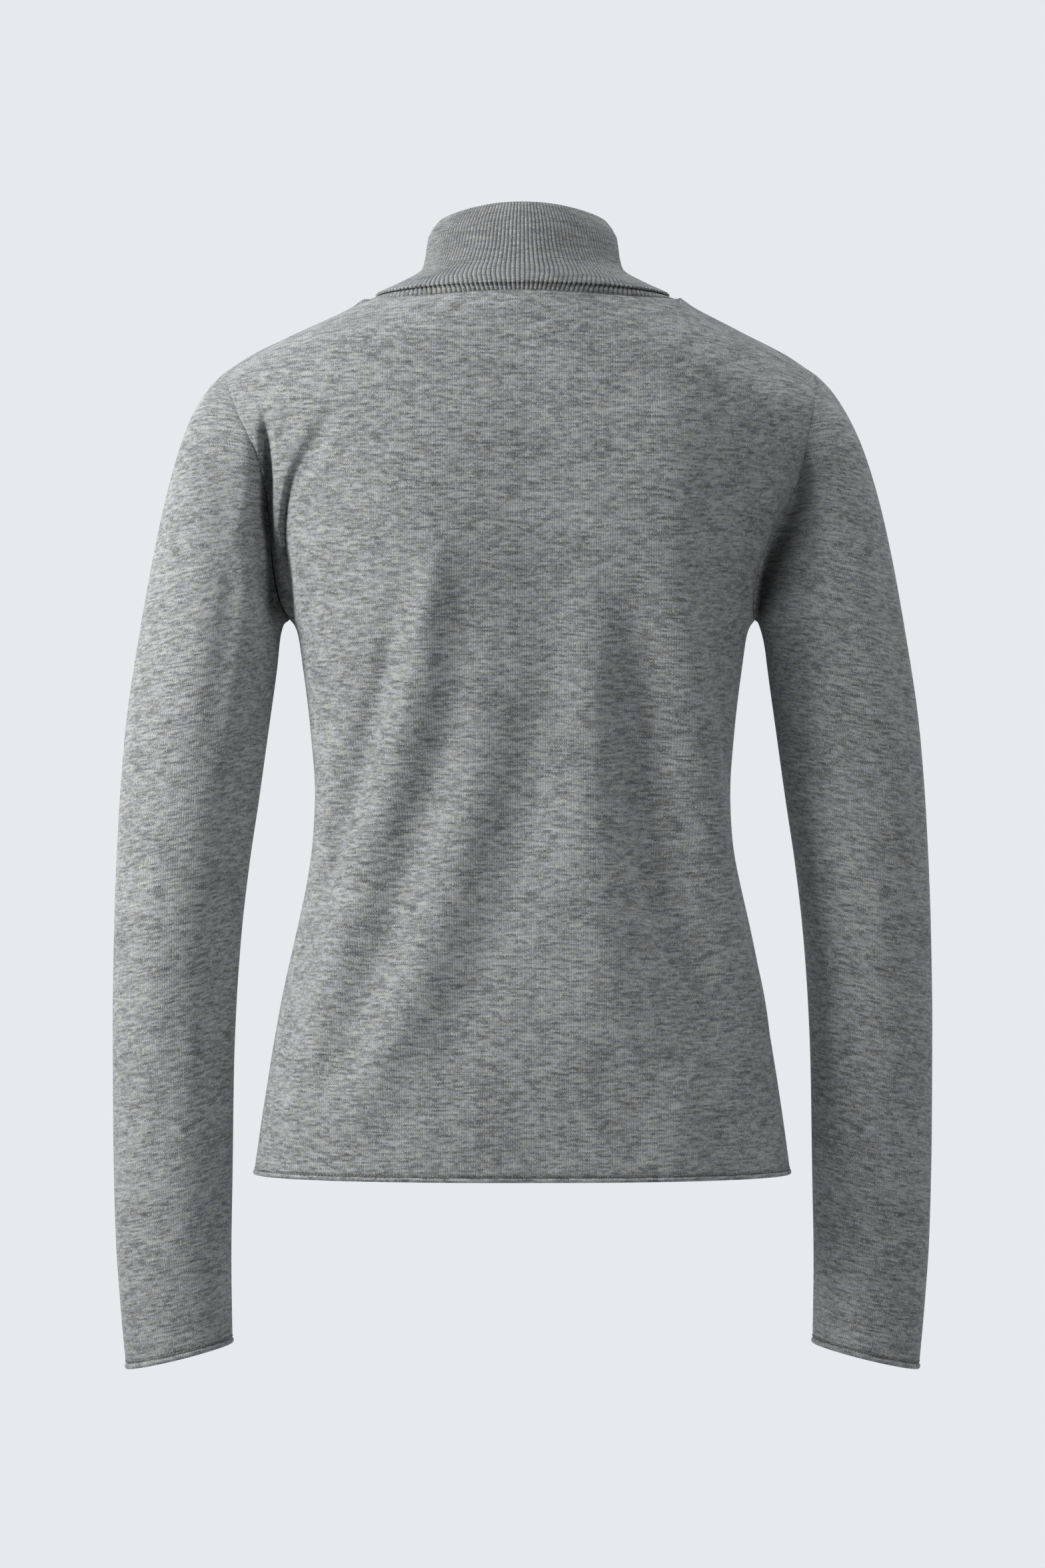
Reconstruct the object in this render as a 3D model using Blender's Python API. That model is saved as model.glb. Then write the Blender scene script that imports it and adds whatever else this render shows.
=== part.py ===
"""Turtleneck sweater: a back, a front, two set-in sleeves and a folded rib collar.

The cloth stands in the form that it has when it is worn, with nobody in it. +Z is up, +X is the wearer's
left and -Y is the wearer's front. The origin is the middle of the neck, level with the neck seam. Every
size here is in millimetres, and a mesh is scaled to metres when it is made. A height is stated as down:
the distance below the origin.
"""
import math

import bmesh
import bpy
import numpy as np

MM = 0.001


def table(columns, *rows):
    """Turn rows of sizes into one array for each named column."""
    return dict(zip(columns.split(), np.array(rows, dtype=float).T))


# Cloth
WALL = 1.6               # plain knit of the body and the sleeves
RIB_WALL = 1.2           # rib knit of the collar, without the height of its ribs
SEAM_GAP = 0.3           # between the edges of two pieces that are sewn together
COLLAR_SET = 0.25        # of it, what lies on the collar's side of the neck seam
ROLL_HEIGHT = 1.3        # how far the rolled edge of the hem and the cuffs stands out
ROLL_ROWS = (7.0, 4.5, 2.0, 0.0)      # distances of its rows of points from the edge
ROLL_SHAPE = (0.0, 0.9, 1.0, 0.45)    # its height at those rows, as a share of ROLL_HEIGHT

# Body
ARMPIT = 216.0
HEM = 580.5
SHOULDER_ROUND = 46.0    # height over which the shoulder turns from level to hanging
SHOULDER_TIP = 190.0     # half of the width from one sleeve seam to the other
CREST_Y = -5.0           # the top line of the shoulder lies this far in front of the neck's middle
SEAM_BACK = {1: (9.0, 10.0, 8.0),     # how far behind the neck's middle the shoulder seam lies at the
             -1: (12.0, 27.0, 17.0)}  # neck, halfway and at the sleeve, by side
NECK_SPREAD = 5.0        # the front leaves the side of the neck this far outwards
NECK_SPREAD_REACH = 0.06     # over this share of the panel's half width
FULLNESS = 2.35          # exponent of the body's section: 2 is an ellipse, and more is squarer

SIDE = table("down  half_width",
             (216, 153.5),
             (221, 149.4),
             (246, 145.2),
             (290, 139.9),
             (334, 136.8),
             (356, 137.3),
             (378, 139.7),
             (422, 149.4),
             (466, 159.1),
             (510, 166.8),
             (554, 173.4),
             (580.5, 176.8))

MIDDLE = table("down  back  front",
               (0,    84.0,  66.0),
               (30,   89.0,  72.0),
               (60,   93.5,  84.0),
               (100,  98.0,  99.0),
               (150,  98.5, 112.0),
               (200,  94.5, 119.0),
               (250,  88.0, 117.0),
               (335,  77.5, 100.0),
               (420,  84.0,  98.0),
               (500,  91.0, 103.0),
               (580.5, 95.0, 106.0))

SHOULDER = table("out    down",
                 (98.0,   3.8),
                 (108.0,  7.9),
                 (131.6, 17.6),
                 (151.6, 26.4),
                 (169.6, 35.2),
                 (185.5, 44.0),
                 (190.0, 47.0))

# The armhole's edges on both panels, and the half width that the body's own section has at that height
ARMHOLE = table("down  back_x  back_y  front_x  front_y  body_x",
                (47,   190.0,   43.0,  190.0,   43.0,   206.0),
                (60,   193.5,   44.0,  191.0,   44.0,   203.0),
                (73,   189.5,   45.0,  186.0,   46.0,   199.0),
                (97,   180.5,   44.0,  175.5,   46.0,   190.0),
                (120,  174.5,   38.0,  167.0,   43.0,   180.0),
                (150,  169.5,   29.0,  161.0,   35.0,   167.0),
                (180,  165.5,   20.0,  158.5,   25.0,   157.5),
                (205,  160.0,   11.0,  156.0,   13.0,   151.0),
                (216,  153.5,    0.0,  153.5,    0.0,   149.4))

# How much further out the right armhole lies, where the right sleeve pulls the body's side with it
RIGHT_PULL = table("down  out",
                   (47,  0.0),
                   (73,  2.0),
                   (97,  6.0),
                   (120, 9.5),
                   (150, 7.5),
                   (180, 2.0),
                   (205, 0.0),
                   (216, 0.0))

# Neck seam: an oval that dips a little halfway between its side and its back
NECK_HALF_WIDTH = 99.5
NECK_BACK = 83.5
NECK_FRONT = 73.5
NECK_SIDE_DOWN = 4.6
NECK_BACK_DOWN = 5.0
NECK_FRONT_DOWN = 39.5
NECK_DIP = 2.2

# Folded collar: ovals halfway between its two layers, from the seam up to the fold
COLLAR = table("half_width  back  front  side_z  back_z  front_z  half_gap  spread",
               (99.5, 83.5, 73.5,  -4.6,  -5.0, -39.5, 0.60,  0.157),
               (95.3, 83.0, 72.2,  -3.2,  -0.5, -34.8, 0.85,  0.115),
               (72.8, 69.2, 65.2,   7.8,  10.2, -19.0, 0.90, -0.030),
               (64.7, 64.0, 61.8,  13.6,  17.6, -10.5, 1.00, -0.040),
               (60.2, 60.0, 58.2,  24.0,  27.5,  -0.5, 1.20, -0.010),
               (55.4, 51.0, 51.0,  44.8,  52.6,  27.0, 1.80,  0.050))
COLLAR_RIBS = 156
RIB_HEIGHT = 0.45
RIBS_PER_PLAIN = 3       # the collar's plain faces have one point for this many ribs
FOLD_LEANS = (100, 50)   # degrees from inwards at which the points that round the fold's outside lie

# Sleeves: sections from the armhole to the cuff, each between an outer and an inner point of the arm
OUTER_ARM = table("down  out",
                  (47,  190.0),
                  (53,  198.7),
                  (62,  207.5),
                  (79,  217.4),
                  (106, 227.3),
                  (150, 238.7),
                  (220, 252.1),
                  (290, 262.5),
                  (356, 267.5),
                  (422, 270.2),
                  (488, 271.2),
                  (554, 271.0),
                  (620, 269.6),
                  (664, 266.8),
                  (711, 262.6))

INNER_ARM = table("down  out",
                  (216, 153.5),
                  (219, 157.2),
                  (229, 159.6),
                  (246, 161.5),
                  (290, 167.6),
                  (334, 173.8),
                  (378, 180.4),
                  (422, 185.5),
                  (466, 188.8),
                  (510, 190.7),
                  (576, 191.8),
                  (642, 192.9),
                  (694, 192.2))

SLEEVE = table("along  outer_down  inner_down  half_depth  forward",
               (0.00,   47.0, 216.0, 44.0,  0.0),
               (0.06,   68.0, 218.0, 46.0,  0.0),
               (0.14,  106.0, 223.0, 47.5,  0.0),
               (0.22,  150.0, 234.0, 48.0,  0.0),
               (0.32,  212.0, 262.0, 47.0,  1.0),
               (0.42,  276.0, 304.0, 45.5,  3.0),
               (0.55,  366.0, 374.0, 43.0,  6.0),
               (0.70,  474.0, 474.0, 40.0,  9.0),
               (0.85,  586.0, 580.0, 37.0, 12.0),
               (1.00,  711.0, 694.0, 34.0, 14.0))
SLEEVE_LENGTH = 640.0    # along its middle
ARMHOLE_FADE = 0.30      # share of the sleeve over which the armhole's own outline dies out

# Points: enough to follow the largest folds
SHOULDER_COLUMNS = 7
NECK_COLUMNS = 14
UPPER_ROWS = 10
LOWER_ROWS = 12
SLEEVE_RINGS = 16
COLUMN_CROWDING = 0.55   # 0 spaces the columns evenly, and 1 crowds them towards the side seams
ROW_CROWDING = 1.35      # above 1, the rows below the armpit lie closer together near it
RING_CROWDING = 1.15     # the same for a sleeve's rings near its armhole

FOLD_FADE = 0.3          # share of a fold's length over which each end of it dies out
FOLD_TO_SEAM = 0.12      # share of a panel's half width over which its folds die out at a side seam

# Folds, as a line down a panel (x and down at its top, middle and end) with a height and a half width
BACK_FOLDS = table("x1    d1    x2    d2    x3    d3   height  half_width",
                   (60,  190,   92,  345,  124,  470,   3.2,  18),
                   (42,  290,   68,  405,  104,  530,  -3.0,  17),
                   (2,   235,   22,  368,   66,  510,  -3.2,  20),
                   (-30, 225,  -20,  330,   -6,  450,   2.8,  20),
                   (-50, 235,  -76,  375, -124,  520,  -3.6,  20),
                   (-92, 225, -108,  345, -138,  480,   3.4,  18))

FRONT_FOLDS = table("x1    d1    x2    d2    x3    d3   height  half_width",
                    (-66, 210,  -90,  350, -122,  480,   3.0,  19),
                    (-38, 225,  -56,  370,  -88,  515,  -3.2,  20),
                    (2,   250,   -6,  375,  -30,  520,   2.6,  22),
                    (34,  240,   46,  370,   74,  505,  -3.2,  20),
                    (66,  225,   88,  350,  120,  475,   3.2,  19))

# Sleeve folds: an angle round the sleeve (0 outside, 90 behind, 180 inside) that drifts down its length
SLEEVE_FOLDS = {1: table("angle1  down1  angle2  down2  height  half_angle",
                         (150, 255, 128, 600, -1.6, 16),
                         (60,  330,  84, 560,  1.6, 22),
                         (235, 270, 262, 560, -1.8, 20)),
                -1: table("angle1  down1  angle2  down2  height  half_angle",
                          (38,  150,  30, 400, -1.8, 10),
                          (75,  165,  52, 420,  1.8, 14),
                          (120, 300, 104, 590, -1.6, 22),
                          (250, 280, 230, 580,  1.8, 20))}


def curve(at, xs, ys):
    """Read a smooth curve through points whose xs rise. It never overshoots a point."""
    rates = np.diff(ys) / np.diff(xs)
    before, after = rates[:-1], rates[1:]
    same_way = before * after > 0
    bends = np.where(same_way, 2 * before * after / np.where(same_way, before + after, 1), 0)
    slopes = np.concatenate([rates[:1], bends, rates[-1:]])
    at = np.clip(at, xs[0], xs[-1])
    i = np.clip(np.searchsorted(xs, at) - 1, 0, len(xs) - 2)
    step = xs[i + 1] - xs[i]
    t = (at - xs[i]) / step
    start = (1 + 2 * t) * (1 - t) ** 2 * ys[i] + t * (1 - t) ** 2 * step * slopes[i]
    end = t * t * (3 - 2 * t) * ys[i + 1] + t * t * (t - 1) * step * slopes[i + 1]
    return start + end


def ease(t):
    """Rise smoothly from 0 to 1."""
    t = np.clip(t, 0.0, 1.0)
    return t * t * (3 - 2 * t)


def unit(vectors):
    return vectors / np.linalg.norm(vectors, axis=-1, keepdims=True)


def neck_seam(angle):
    """Points of the neck seam at angles in radians: 0 is the wearer's left, and pi / 2 is the back."""
    behind = np.sin(angle) >= 0
    depth = np.where(behind, NECK_BACK, NECK_FRONT)
    end_down = np.where(behind, NECK_BACK_DOWN, NECK_FRONT_DOWN)
    dip = np.where(behind, NECK_DIP, 0.0) * np.sin(2 * angle) ** 2
    down = NECK_SIDE_DOWN + (end_down - NECK_SIDE_DOWN) * np.sin(angle) ** 2 + dip
    return np.stack([NECK_HALF_WIDTH * np.cos(angle), depth * np.sin(angle), -down], axis=-1)


def neck_angles(face):
    """Angles of a panel's neck edge from the wearer's right to the left. face is 1 behind, -1 in front."""
    left = math.asin(SEAM_BACK[1][0] / NECK_BACK)
    right = math.pi - math.asin(SEAM_BACK[-1][0] / NECK_BACK)
    end = left if face > 0 else left + 2 * math.pi
    return np.linspace(right, end, NECK_COLUMNS + 1)


def shoulder_seam(side, neck_end):
    """The shoulder seam of one side (1 is the wearer's left), from its neck end to the sleeve."""
    out = np.linspace(abs(neck_end[0]), SHOULDER_TIP, SHOULDER_COLUMNS + 1)
    along = np.linspace(0, 1, SHOULDER_COLUMNS + 1)
    y = curve(along, np.array([0.0, 0.4, 1.0]), np.array(SEAM_BACK[side]))
    down = curve(out, SHOULDER["out"], SHOULDER["down"])
    depth = body_section(out / ARMHOLE["body_x"][0], curve(down, MIDDLE["down"], MIDDLE["front"]))
    behind = (y - CREST_Y) / (depth + CREST_Y)
    down += SHOULDER_ROUND * (1 - np.sqrt(1 - behind ** 2))
    down += (-neck_end[2] - down[0]) * (1 - ease(along * 3))
    return np.stack([side * out, y, -down], axis=-1)


def panel_top(face):
    """Top edge of a panel: a shoulder seam, the neck seam and the other shoulder seam."""
    neck = neck_seam(neck_angles(face))
    right = shoulder_seam(-1, neck[0])
    left = shoulder_seam(1, neck[-1])
    return np.concatenate([right[:0:-1], neck, left[1:]])


def body_section(share, middle_y):
    """How far the body lies behind or in front of the neck's middle, at shares of its half width."""
    return middle_y * (1 - np.clip(np.abs(share), 0, 1) ** FULLNESS) ** (1 / FULLNESS)


def fold_relief(folds, x, down):
    """Height of a panel's folds at its points."""
    relief = np.zeros_like(x)
    for x1, d1, x2, d2, x3, d3, height, half_width in zip(*folds.values()):
        along = (down - d1) / (d3 - d1)
        centre = curve(down, np.array([d1, d2, d3]), np.array([x1, x2, x3]))
        fade = ease(along / FOLD_FADE) * ease((1 - along) / FOLD_FADE)
        relief += height * fade * np.exp(-((x - centre) / half_width) ** 2)
    return relief


def panel(face, folds):
    """Outer face of the back (face 1) or the front (face -1), as rows of points from the hem up."""
    name = "back" if face > 0 else "front"
    top = panel_top(face)
    across = np.linspace(-1, 1, len(top))
    even = across + COLUMN_CROWDING * (np.sin(across * math.pi / 2) - across)
    top_share = top[:, 0] / ARMHOLE["body_x"][0]
    top_depth = body_section(top_share, curve(-top[:, 2], MIDDLE["down"], MIDDLE[name]))

    # Every column falls from one level top line, in a quarter of an oval and then straight down
    crest_y = face * CREST_Y
    start = np.arcsin((face * top[:, 1] - crest_y) / (top_depth - crest_y))
    crest_down = -top[:, 2] - SHOULDER_ROUND * (1 - np.cos(start))
    fall_top = SHOULDER_ROUND * start
    fall_armpit = SHOULDER_ROUND * (math.pi / 2 - 1) + ARMPIT - crest_down
    neck_end = 1 - 2 * SHOULDER_COLUMNS / (len(top) - 1)
    near_neck_end = np.exp(-((np.abs(across) - neck_end) / NECK_SPREAD_REACH) ** 2) * (face < 0)

    rows = []
    for k in range(UPPER_ROWS):
        rise = (k / UPPER_ROWS + ease(k / UPPER_ROWS)) / 2
        fall = fall_armpit + (fall_top - fall_armpit) * rise
        turn = np.minimum(fall / SHOULDER_ROUND, math.pi / 2)
        down = crest_down + SHOULDER_ROUND * (1 - np.cos(turn) - turn) + fall
        share = even + (top_share - even) * ease(k / UPPER_ROWS)
        x = share * curve(down, ARMHOLE["down"], ARMHOLE["body_x"])
        x += NECK_SPREAD * near_neck_end * (k / UPPER_ROWS) ** 2 * np.sign(across)
        flat = body_section(share, curve(down, MIDDLE["down"], MIDDLE[name]))
        for end in (0, -1):
            x[end] = math.copysign(curve(down[end], ARMHOLE["down"], ARMHOLE[name + "_x"]), across[end])
            flat[end] = curve(down[end], ARMHOLE["down"], ARMHOLE[name + "_y"])
        x -= curve(down, RIGHT_PULL["down"], RIGHT_PULL["out"]) * ease(-1 - 2 * across)
        y = crest_y + (flat - crest_y) * np.sin(turn)
        rows.append(np.stack([x, face * y, -down], axis=-1))
    rows.append(top)

    share = (np.arange(1, LOWER_ROWS + 1) / LOWER_ROWS) ** ROW_CROWDING
    level = ARMPIT + (HEM - ROLL_ROWS[0] - ARMPIT) * share
    for down in list(level) + [HEM - distance for distance in ROLL_ROWS[1:]]:
        half_width = curve(down, SIDE["down"], SIDE["half_width"])
        y = body_section(even, curve(down, MIDDLE["down"], MIDDLE[name]))
        rows.insert(0, np.stack([half_width * even, face * y, np.full(len(top), -down)], axis=-1))

    points = np.array(rows)
    normals = unit(np.cross(*np.gradient(points, axis=(1, 0)))) * face * -1
    relief = fold_relief(folds, points[..., 0], -points[..., 2]) * ease((1 - np.abs(across)) / FOLD_TO_SEAM)
    for row, height in enumerate(reversed(ROLL_SHAPE)):
        relief[row] += ROLL_HEIGHT * height
    relief[:, [0, -1]] = 0
    points += normals * relief[..., None]
    flare = np.array(ROLL_SHAPE[::-1]) * ROLL_HEIGHT
    points[:len(flare), 0, 0] -= flare
    points[:len(flare), -1, 0] += flare
    return points


def sleeve(side, back, front):
    """Outer face of a sleeve, as rings of points from the armhole to the cuff.

    A ring starts at its outer point and goes behind the arm, under it and up its front.
    """
    edge = -1 if side > 0 else 0
    behind = back[::-1, edge][:UPPER_ROWS + 1]
    before = front[-UPPER_ROWS:-1, edge]
    armhole = np.concatenate([behind, before]) * (side, 1, 1)
    angles = 2 * math.pi * np.arange(len(armhole)) / len(armhole)

    roll = np.array(ROLL_ROWS) / SLEEVE_LENGTH
    rings = (np.arange(SLEEVE_RINGS) / SLEEVE_RINGS) ** RING_CROWDING * (1 - roll[0])
    along = np.concatenate([rings, 1 - roll])
    sizes = {name: curve(along, SLEEVE["along"], values) for name, values in SLEEVE.items()}
    outer = np.stack([curve(sizes["outer_down"], OUTER_ARM["down"], OUTER_ARM["out"]), -sizes["outer_down"]])
    inner = np.stack([curve(sizes["inner_down"], INNER_ARM["down"], INNER_ARM["out"]), -sizes["inner_down"]])
    middle = (outer + inner) / 2
    reach = (outer - inner) / 2
    x = middle[0][:, None] + reach[0][:, None] * np.cos(angles)
    z = middle[1][:, None] + reach[1][:, None] * np.cos(angles)
    y = sizes["half_depth"][:, None] * np.sin(angles) - sizes["forward"][:, None]
    points = np.stack([x, y, z], axis=-1)
    fade = (1 - ease(along / ARMHOLE_FADE))[:, None, None]
    points += (armhole - points[0]) * fade

    relief = np.zeros(points.shape[:2])
    for angle1, down1, angle2, down2, height, half_angle in zip(*SLEEVE_FOLDS[side].values()):
        share = (-points[..., 2] - down1) / (down2 - down1)
        away = np.degrees(angles) - (angle1 + (angle2 - angle1) * np.clip(share, 0, 1))
        fade = ease(share / FOLD_FADE) * ease((1 - share) / FOLD_FADE)
        relief += height * fade * np.exp(-(away / half_angle) ** 2)
    for ring, height in zip(range(-len(ROLL_SHAPE), 0), ROLL_SHAPE):
        relief[ring] += ROLL_HEIGHT * height
    outward = unit(points - points.mean(axis=1, keepdims=True))
    return (points + outward * relief[..., None]) * (side, 1, 1)


def welded_normals(pieces):
    """Outward normals of each piece's points, shared where two pieces meet at a seam."""
    totals = {}
    for points in pieces.values():
        a, b, c, d = points[:-1, :-1], points[:-1, 1:], points[1:, 1:], points[1:, :-1]
        faces = unit(np.cross(c - a, d - b))
        faces *= np.sign(np.sum(faces * (a - points.mean(axis=(0, 1)))))
        for corner in (a, b, c, d):
            for point, normal in zip(corner.reshape(-1, 3), faces.reshape(-1, 3)):
                key = tuple(np.round(point, 3) + 0.0)
                totals[key] = totals.get(key, 0) + normal
    lookup = {name: np.array([[totals[tuple(np.round(p, 3) + 0.0)] for p in row] for row in points])
              for name, points in pieces.items()}
    return {name: unit(values) for name, values in lookup.items()}


def set_back(points, edge, neighbour, is_ring=False):
    """Move an edge of a piece straight back from its seam, by half of the seam's gap."""
    line = points[edge]
    padded = np.concatenate([line[-1:], line, line[:1]]) if is_ring else line
    along = unit(np.gradient(padded, axis=0))
    along = along[1:-1] if is_ring else along
    inwards = points[neighbour] - line
    inwards -= along * np.sum(inwards * along, axis=-1, keepdims=True)
    points[edge] = line + unit(inwards) * SEAM_GAP / 2


def new_material(name, colour, roughness):
    material = bpy.data.materials.new(name)
    material.use_nodes = True
    shader = material.node_tree.nodes["Principled BSDF"]
    shader.inputs["Base Color"].default_value = (*colour, 1.0)
    shader.inputs["Roughness"].default_value = roughness
    return material


def new_object(name, mesh, collection, material):
    mesh.shade_smooth()
    mesh.materials.append(material)
    piece = bpy.data.objects.new(name, mesh)
    collection.objects.link(piece)
    return piece


def closed_mesh(name, points, faces):
    """A mesh of points in millimetres, with its faces turned outwards."""
    mesh = bpy.data.meshes.new(name)
    mesh.from_pydata((points * MM).tolist(), [], faces)
    edit = bmesh.new()
    edit.from_mesh(mesh)
    bmesh.ops.recalc_face_normals(edit, faces=edit.faces)
    edit.to_mesh(mesh)
    edit.free()
    return mesh


def quads(grid):
    """The faces between a grid's neighbouring points."""
    return np.stack([grid[:-1, :-1], grid[:-1, 1:], grid[1:, 1:], grid[1:, :-1]], axis=-1).reshape(-1, 4)


def rim(edge, behind, heights):
    """Triangles across an edge of a wall, cut alike on both pieces of a seam: from the lower outer point."""
    first, second = edge[:-1], edge[1:]
    rising = heights[first] < heights[second]
    low = np.where(rising, first, second)
    high = np.where(rising, second, first)
    return [np.stack([low, high, high + behind], axis=-1), np.stack([low, high + behind, low + behind], axis=-1)]


def wall_mesh(name, outer, inner, is_tube):
    """A wall between two grids of points. The rows of a tube's grids are rings."""
    rows, columns = outer.shape[:2]
    grid = np.arange(rows * columns).reshape(rows, columns)
    if is_tube:
        grid = np.hstack([grid, grid[:, :1]])
    behind = rows * columns
    faces = quads(grid).tolist() + (quads(grid) + behind).tolist()
    points = np.concatenate([outer.reshape(-1, 3), inner.reshape(-1, 3)])
    edges = [grid[0], grid[-1]]
    if not is_tube:
        edges += [grid[:, 0], grid[:, -1]]
    for edge in edges:
        for triangles in rim(edge, behind, points[:, 2]):
            faces += triangles.tolist()
    return closed_mesh(name, points, faces)


def loft_mesh(name, rings):
    """A closed mesh through a loop of rings whose counts are equal or multiples of each other."""
    starts = np.cumsum([0] + [len(ring) for ring in rings])
    faces = []
    for k, here in enumerate(rings):
        there = rings[(k + 1) % len(rings)]
        few, many = (k, (k + 1) % len(rings)) if len(here) <= len(there) else ((k + 1) % len(rings), k)
        step = len(rings[many]) // len(rings[few])
        for i in range(len(rings[few])):
            coarse = [starts[few] + i, starts[few] + (i + 1) % len(rings[few])]
            fine = [starts[many] + (i * step + n) % len(rings[many]) for n in range(step + 1)]
            if step == 1:
                faces.append([coarse[0], coarse[1], fine[1], fine[0]])
                continue
            half = step // 2
            faces += [[coarse[0], fine[n + 1], fine[n]] for n in range(half)]
            faces.append([coarse[0], coarse[1], fine[half]])
            faces += [[coarse[1], fine[n + 1], fine[n]] for n in range(half, step)]
    return closed_mesh(name, np.concatenate(rings), [[int(v) for v in face] for face in faces])


def neck_edge(pieces, normals):
    """The panels' neck edge as one ring by rising angle: angles, points and normals."""
    span = slice(SHOULDER_COLUMNS, SHOULDER_COLUMNS + NECK_COLUMNS + 1)
    angles = np.concatenate([neck_angles(1)[::-1], neck_angles(-1)[1:]])
    points = np.concatenate([pieces["back"][-1, span][::-1], pieces["front"][-1, span][1:]])
    lean = np.concatenate([normals["back"][-1, span][::-1], normals["front"][-1, span][1:]])
    return angles, points, lean


def on_ring(angles, values, at):
    """Read a ring's values between its points."""
    turned = (at - angles[0]) % (2 * math.pi) + angles[0]
    return np.stack([np.interp(turned, angles, values[:, axis]) for axis in range(3)], axis=-1)


def collar_rings(seam_angles, seam_points, seam_normals):
    """Rings round the folded collar: up the outside of its stand, over the fold and back inside."""
    count = 2 * COLLAR_RIBS
    turn = 2 * math.pi * np.arange(count) / count
    form = []
    for a, back, front, side_z, back_z, front_z, gap, spread in zip(*COLLAR.values()):
        angle = turn + spread * np.sin(2 * turn)
        behind = np.sin(angle) >= 0
        x = a * np.cos(angle)
        y = np.where(behind, back, front) * np.sin(angle)
        z = side_z + (np.where(behind, back_z, front_z) - side_z) * np.sin(angle) ** 2
        form.append(np.stack([x, y, z], axis=-1))
    seam_angle = turn + COLLAR["spread"][0] * np.sin(2 * turn)
    form[0] = on_ring(seam_angles, seam_points, seam_angle)
    form = np.array(form)
    round_about = np.roll(form, -1, axis=1) - np.roll(form, 1, axis=1)
    outward = unit(np.cross(round_about, np.gradient(form, axis=0)))
    outward[0] = on_ring(seam_angles, seam_normals, seam_angle)
    gap = COLLAR["half_gap"][:, None, None]
    half_wall = RIB_WALL / 2
    rib = np.where(np.arange(count) % 2 == 0, RIB_HEIGHT, 0.0)[:, None]
    plain = slice(None, None, 2 * RIBS_PER_PLAIN)

    stand_outer = form - outward * (gap - half_wall)
    stand_inner = form - outward * (gap + half_wall)
    fold_inner = form + outward * (gap - half_wall)
    fold_outer = form + outward * (gap + half_wall + rib)
    stand_outer[0] = form[0] + unit(form[1] - form[0]) * COLLAR_SET
    stand_inner[0] = stand_outer[0] - outward[0] * RIB_WALL
    rise = unit(form[-1] - form[-2])
    top_gap = COLLAR["half_gap"][-1]
    inner_top = form[-1] + rise * (top_gap - half_wall)
    outer_top = [form[-1] + (rise * math.sin(lean) - outward[-1] * math.cos(lean)) * (top_gap + half_wall + rib)
                 for lean in np.radians(FOLD_LEANS)]

    rings = list(stand_outer[:2] + outward[:2] * rib) + list(stand_outer[2:, plain])
    rings += [inner_top[plain]] + list(fold_inner[:0:-1, plain])
    rings += list(fold_outer[1:]) + [outer_top[0], outer_top[1][plain]]
    return rings + list(stand_inner[::-1, plain])


def main():
    for old in list(bpy.data.objects):
        bpy.data.objects.remove(old, do_unlink=True)
    collection = bpy.data.collections.new("turtleneck_sweater")
    bpy.context.scene.collection.children.link(collection)
    plain_knit = new_material("plain_knit", (0.26, 0.27, 0.275), 0.95)
    rib_knit = new_material("rib_knit", (0.24, 0.25, 0.255), 0.95)

    back = panel(1, BACK_FOLDS)
    front = panel(-1, FRONT_FOLDS)
    pieces = {"back": back, "front": front,
              "sleeve_left": sleeve(1, back, front), "sleeve_right": sleeve(-1, back, front)}
    tubes = {name: name.startswith("sleeve") for name in pieces}
    closed = {name: np.concatenate([grid, grid[:, :1]], axis=1) if tubes[name] else grid
              for name, grid in pieces.items()}
    normals = welded_normals(closed)
    rings = collar_rings(*neck_edge(pieces, normals))

    for name, grid in pieces.items():
        normal = normals[name][:, :-1] if tubes[name] else normals[name]
        outer = grid.copy()
        if tubes[name]:
            set_back(outer, 0, 1, is_ring=True)
        else:
            set_back(outer, -1, -2)
            set_back(outer, (slice(None), 0), (slice(None), 1))
            set_back(outer, (slice(None), -1), (slice(None), -2))
        mesh = wall_mesh(name, outer, outer - normal * WALL, tubes[name])
        new_object(name, mesh, collection, plain_knit)
    new_object("collar", loft_mesh("collar", rings), collection, rib_knit)


main()
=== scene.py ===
"""Dress the turtleneck sweater in its knit: shells with creases, ribs, seams and rolled edges.

The tables hold millimetres in the frame's own axes: +Z up, +X the wearer's left, -Y the wearer's front,
with the origin in the middle of the neck. A height is stated as down, the distance below the origin.
Meshes, properties and shader values are in metres.
"""
import math

import bpy
import numpy as np
from bpy.props import FloatProperty, FloatVectorProperty, IntProperty, PointerProperty
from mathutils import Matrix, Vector


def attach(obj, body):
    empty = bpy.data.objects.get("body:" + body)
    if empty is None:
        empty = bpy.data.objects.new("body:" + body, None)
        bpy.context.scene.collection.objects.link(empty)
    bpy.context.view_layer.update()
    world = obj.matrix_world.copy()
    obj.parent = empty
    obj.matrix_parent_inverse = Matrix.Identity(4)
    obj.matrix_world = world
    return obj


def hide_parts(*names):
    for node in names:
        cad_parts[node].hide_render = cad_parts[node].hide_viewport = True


bl_info = {
    "name": "Turtleneck sweater",
    "version": (1, 0, 0),
    "blender": (4, 5, 0),
    "location": "View3D > Sidebar > Sweater",
    "description": "Builds a fine-knit turtleneck sweater in its worn form",
    "category": "Object",
}

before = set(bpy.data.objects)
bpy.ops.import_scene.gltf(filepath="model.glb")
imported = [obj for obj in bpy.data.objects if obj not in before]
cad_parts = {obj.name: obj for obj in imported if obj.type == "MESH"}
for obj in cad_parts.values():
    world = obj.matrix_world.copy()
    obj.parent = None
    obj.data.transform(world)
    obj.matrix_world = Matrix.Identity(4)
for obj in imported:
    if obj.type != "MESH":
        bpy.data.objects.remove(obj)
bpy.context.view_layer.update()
MM = 0.001
BODY = "root"


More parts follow.
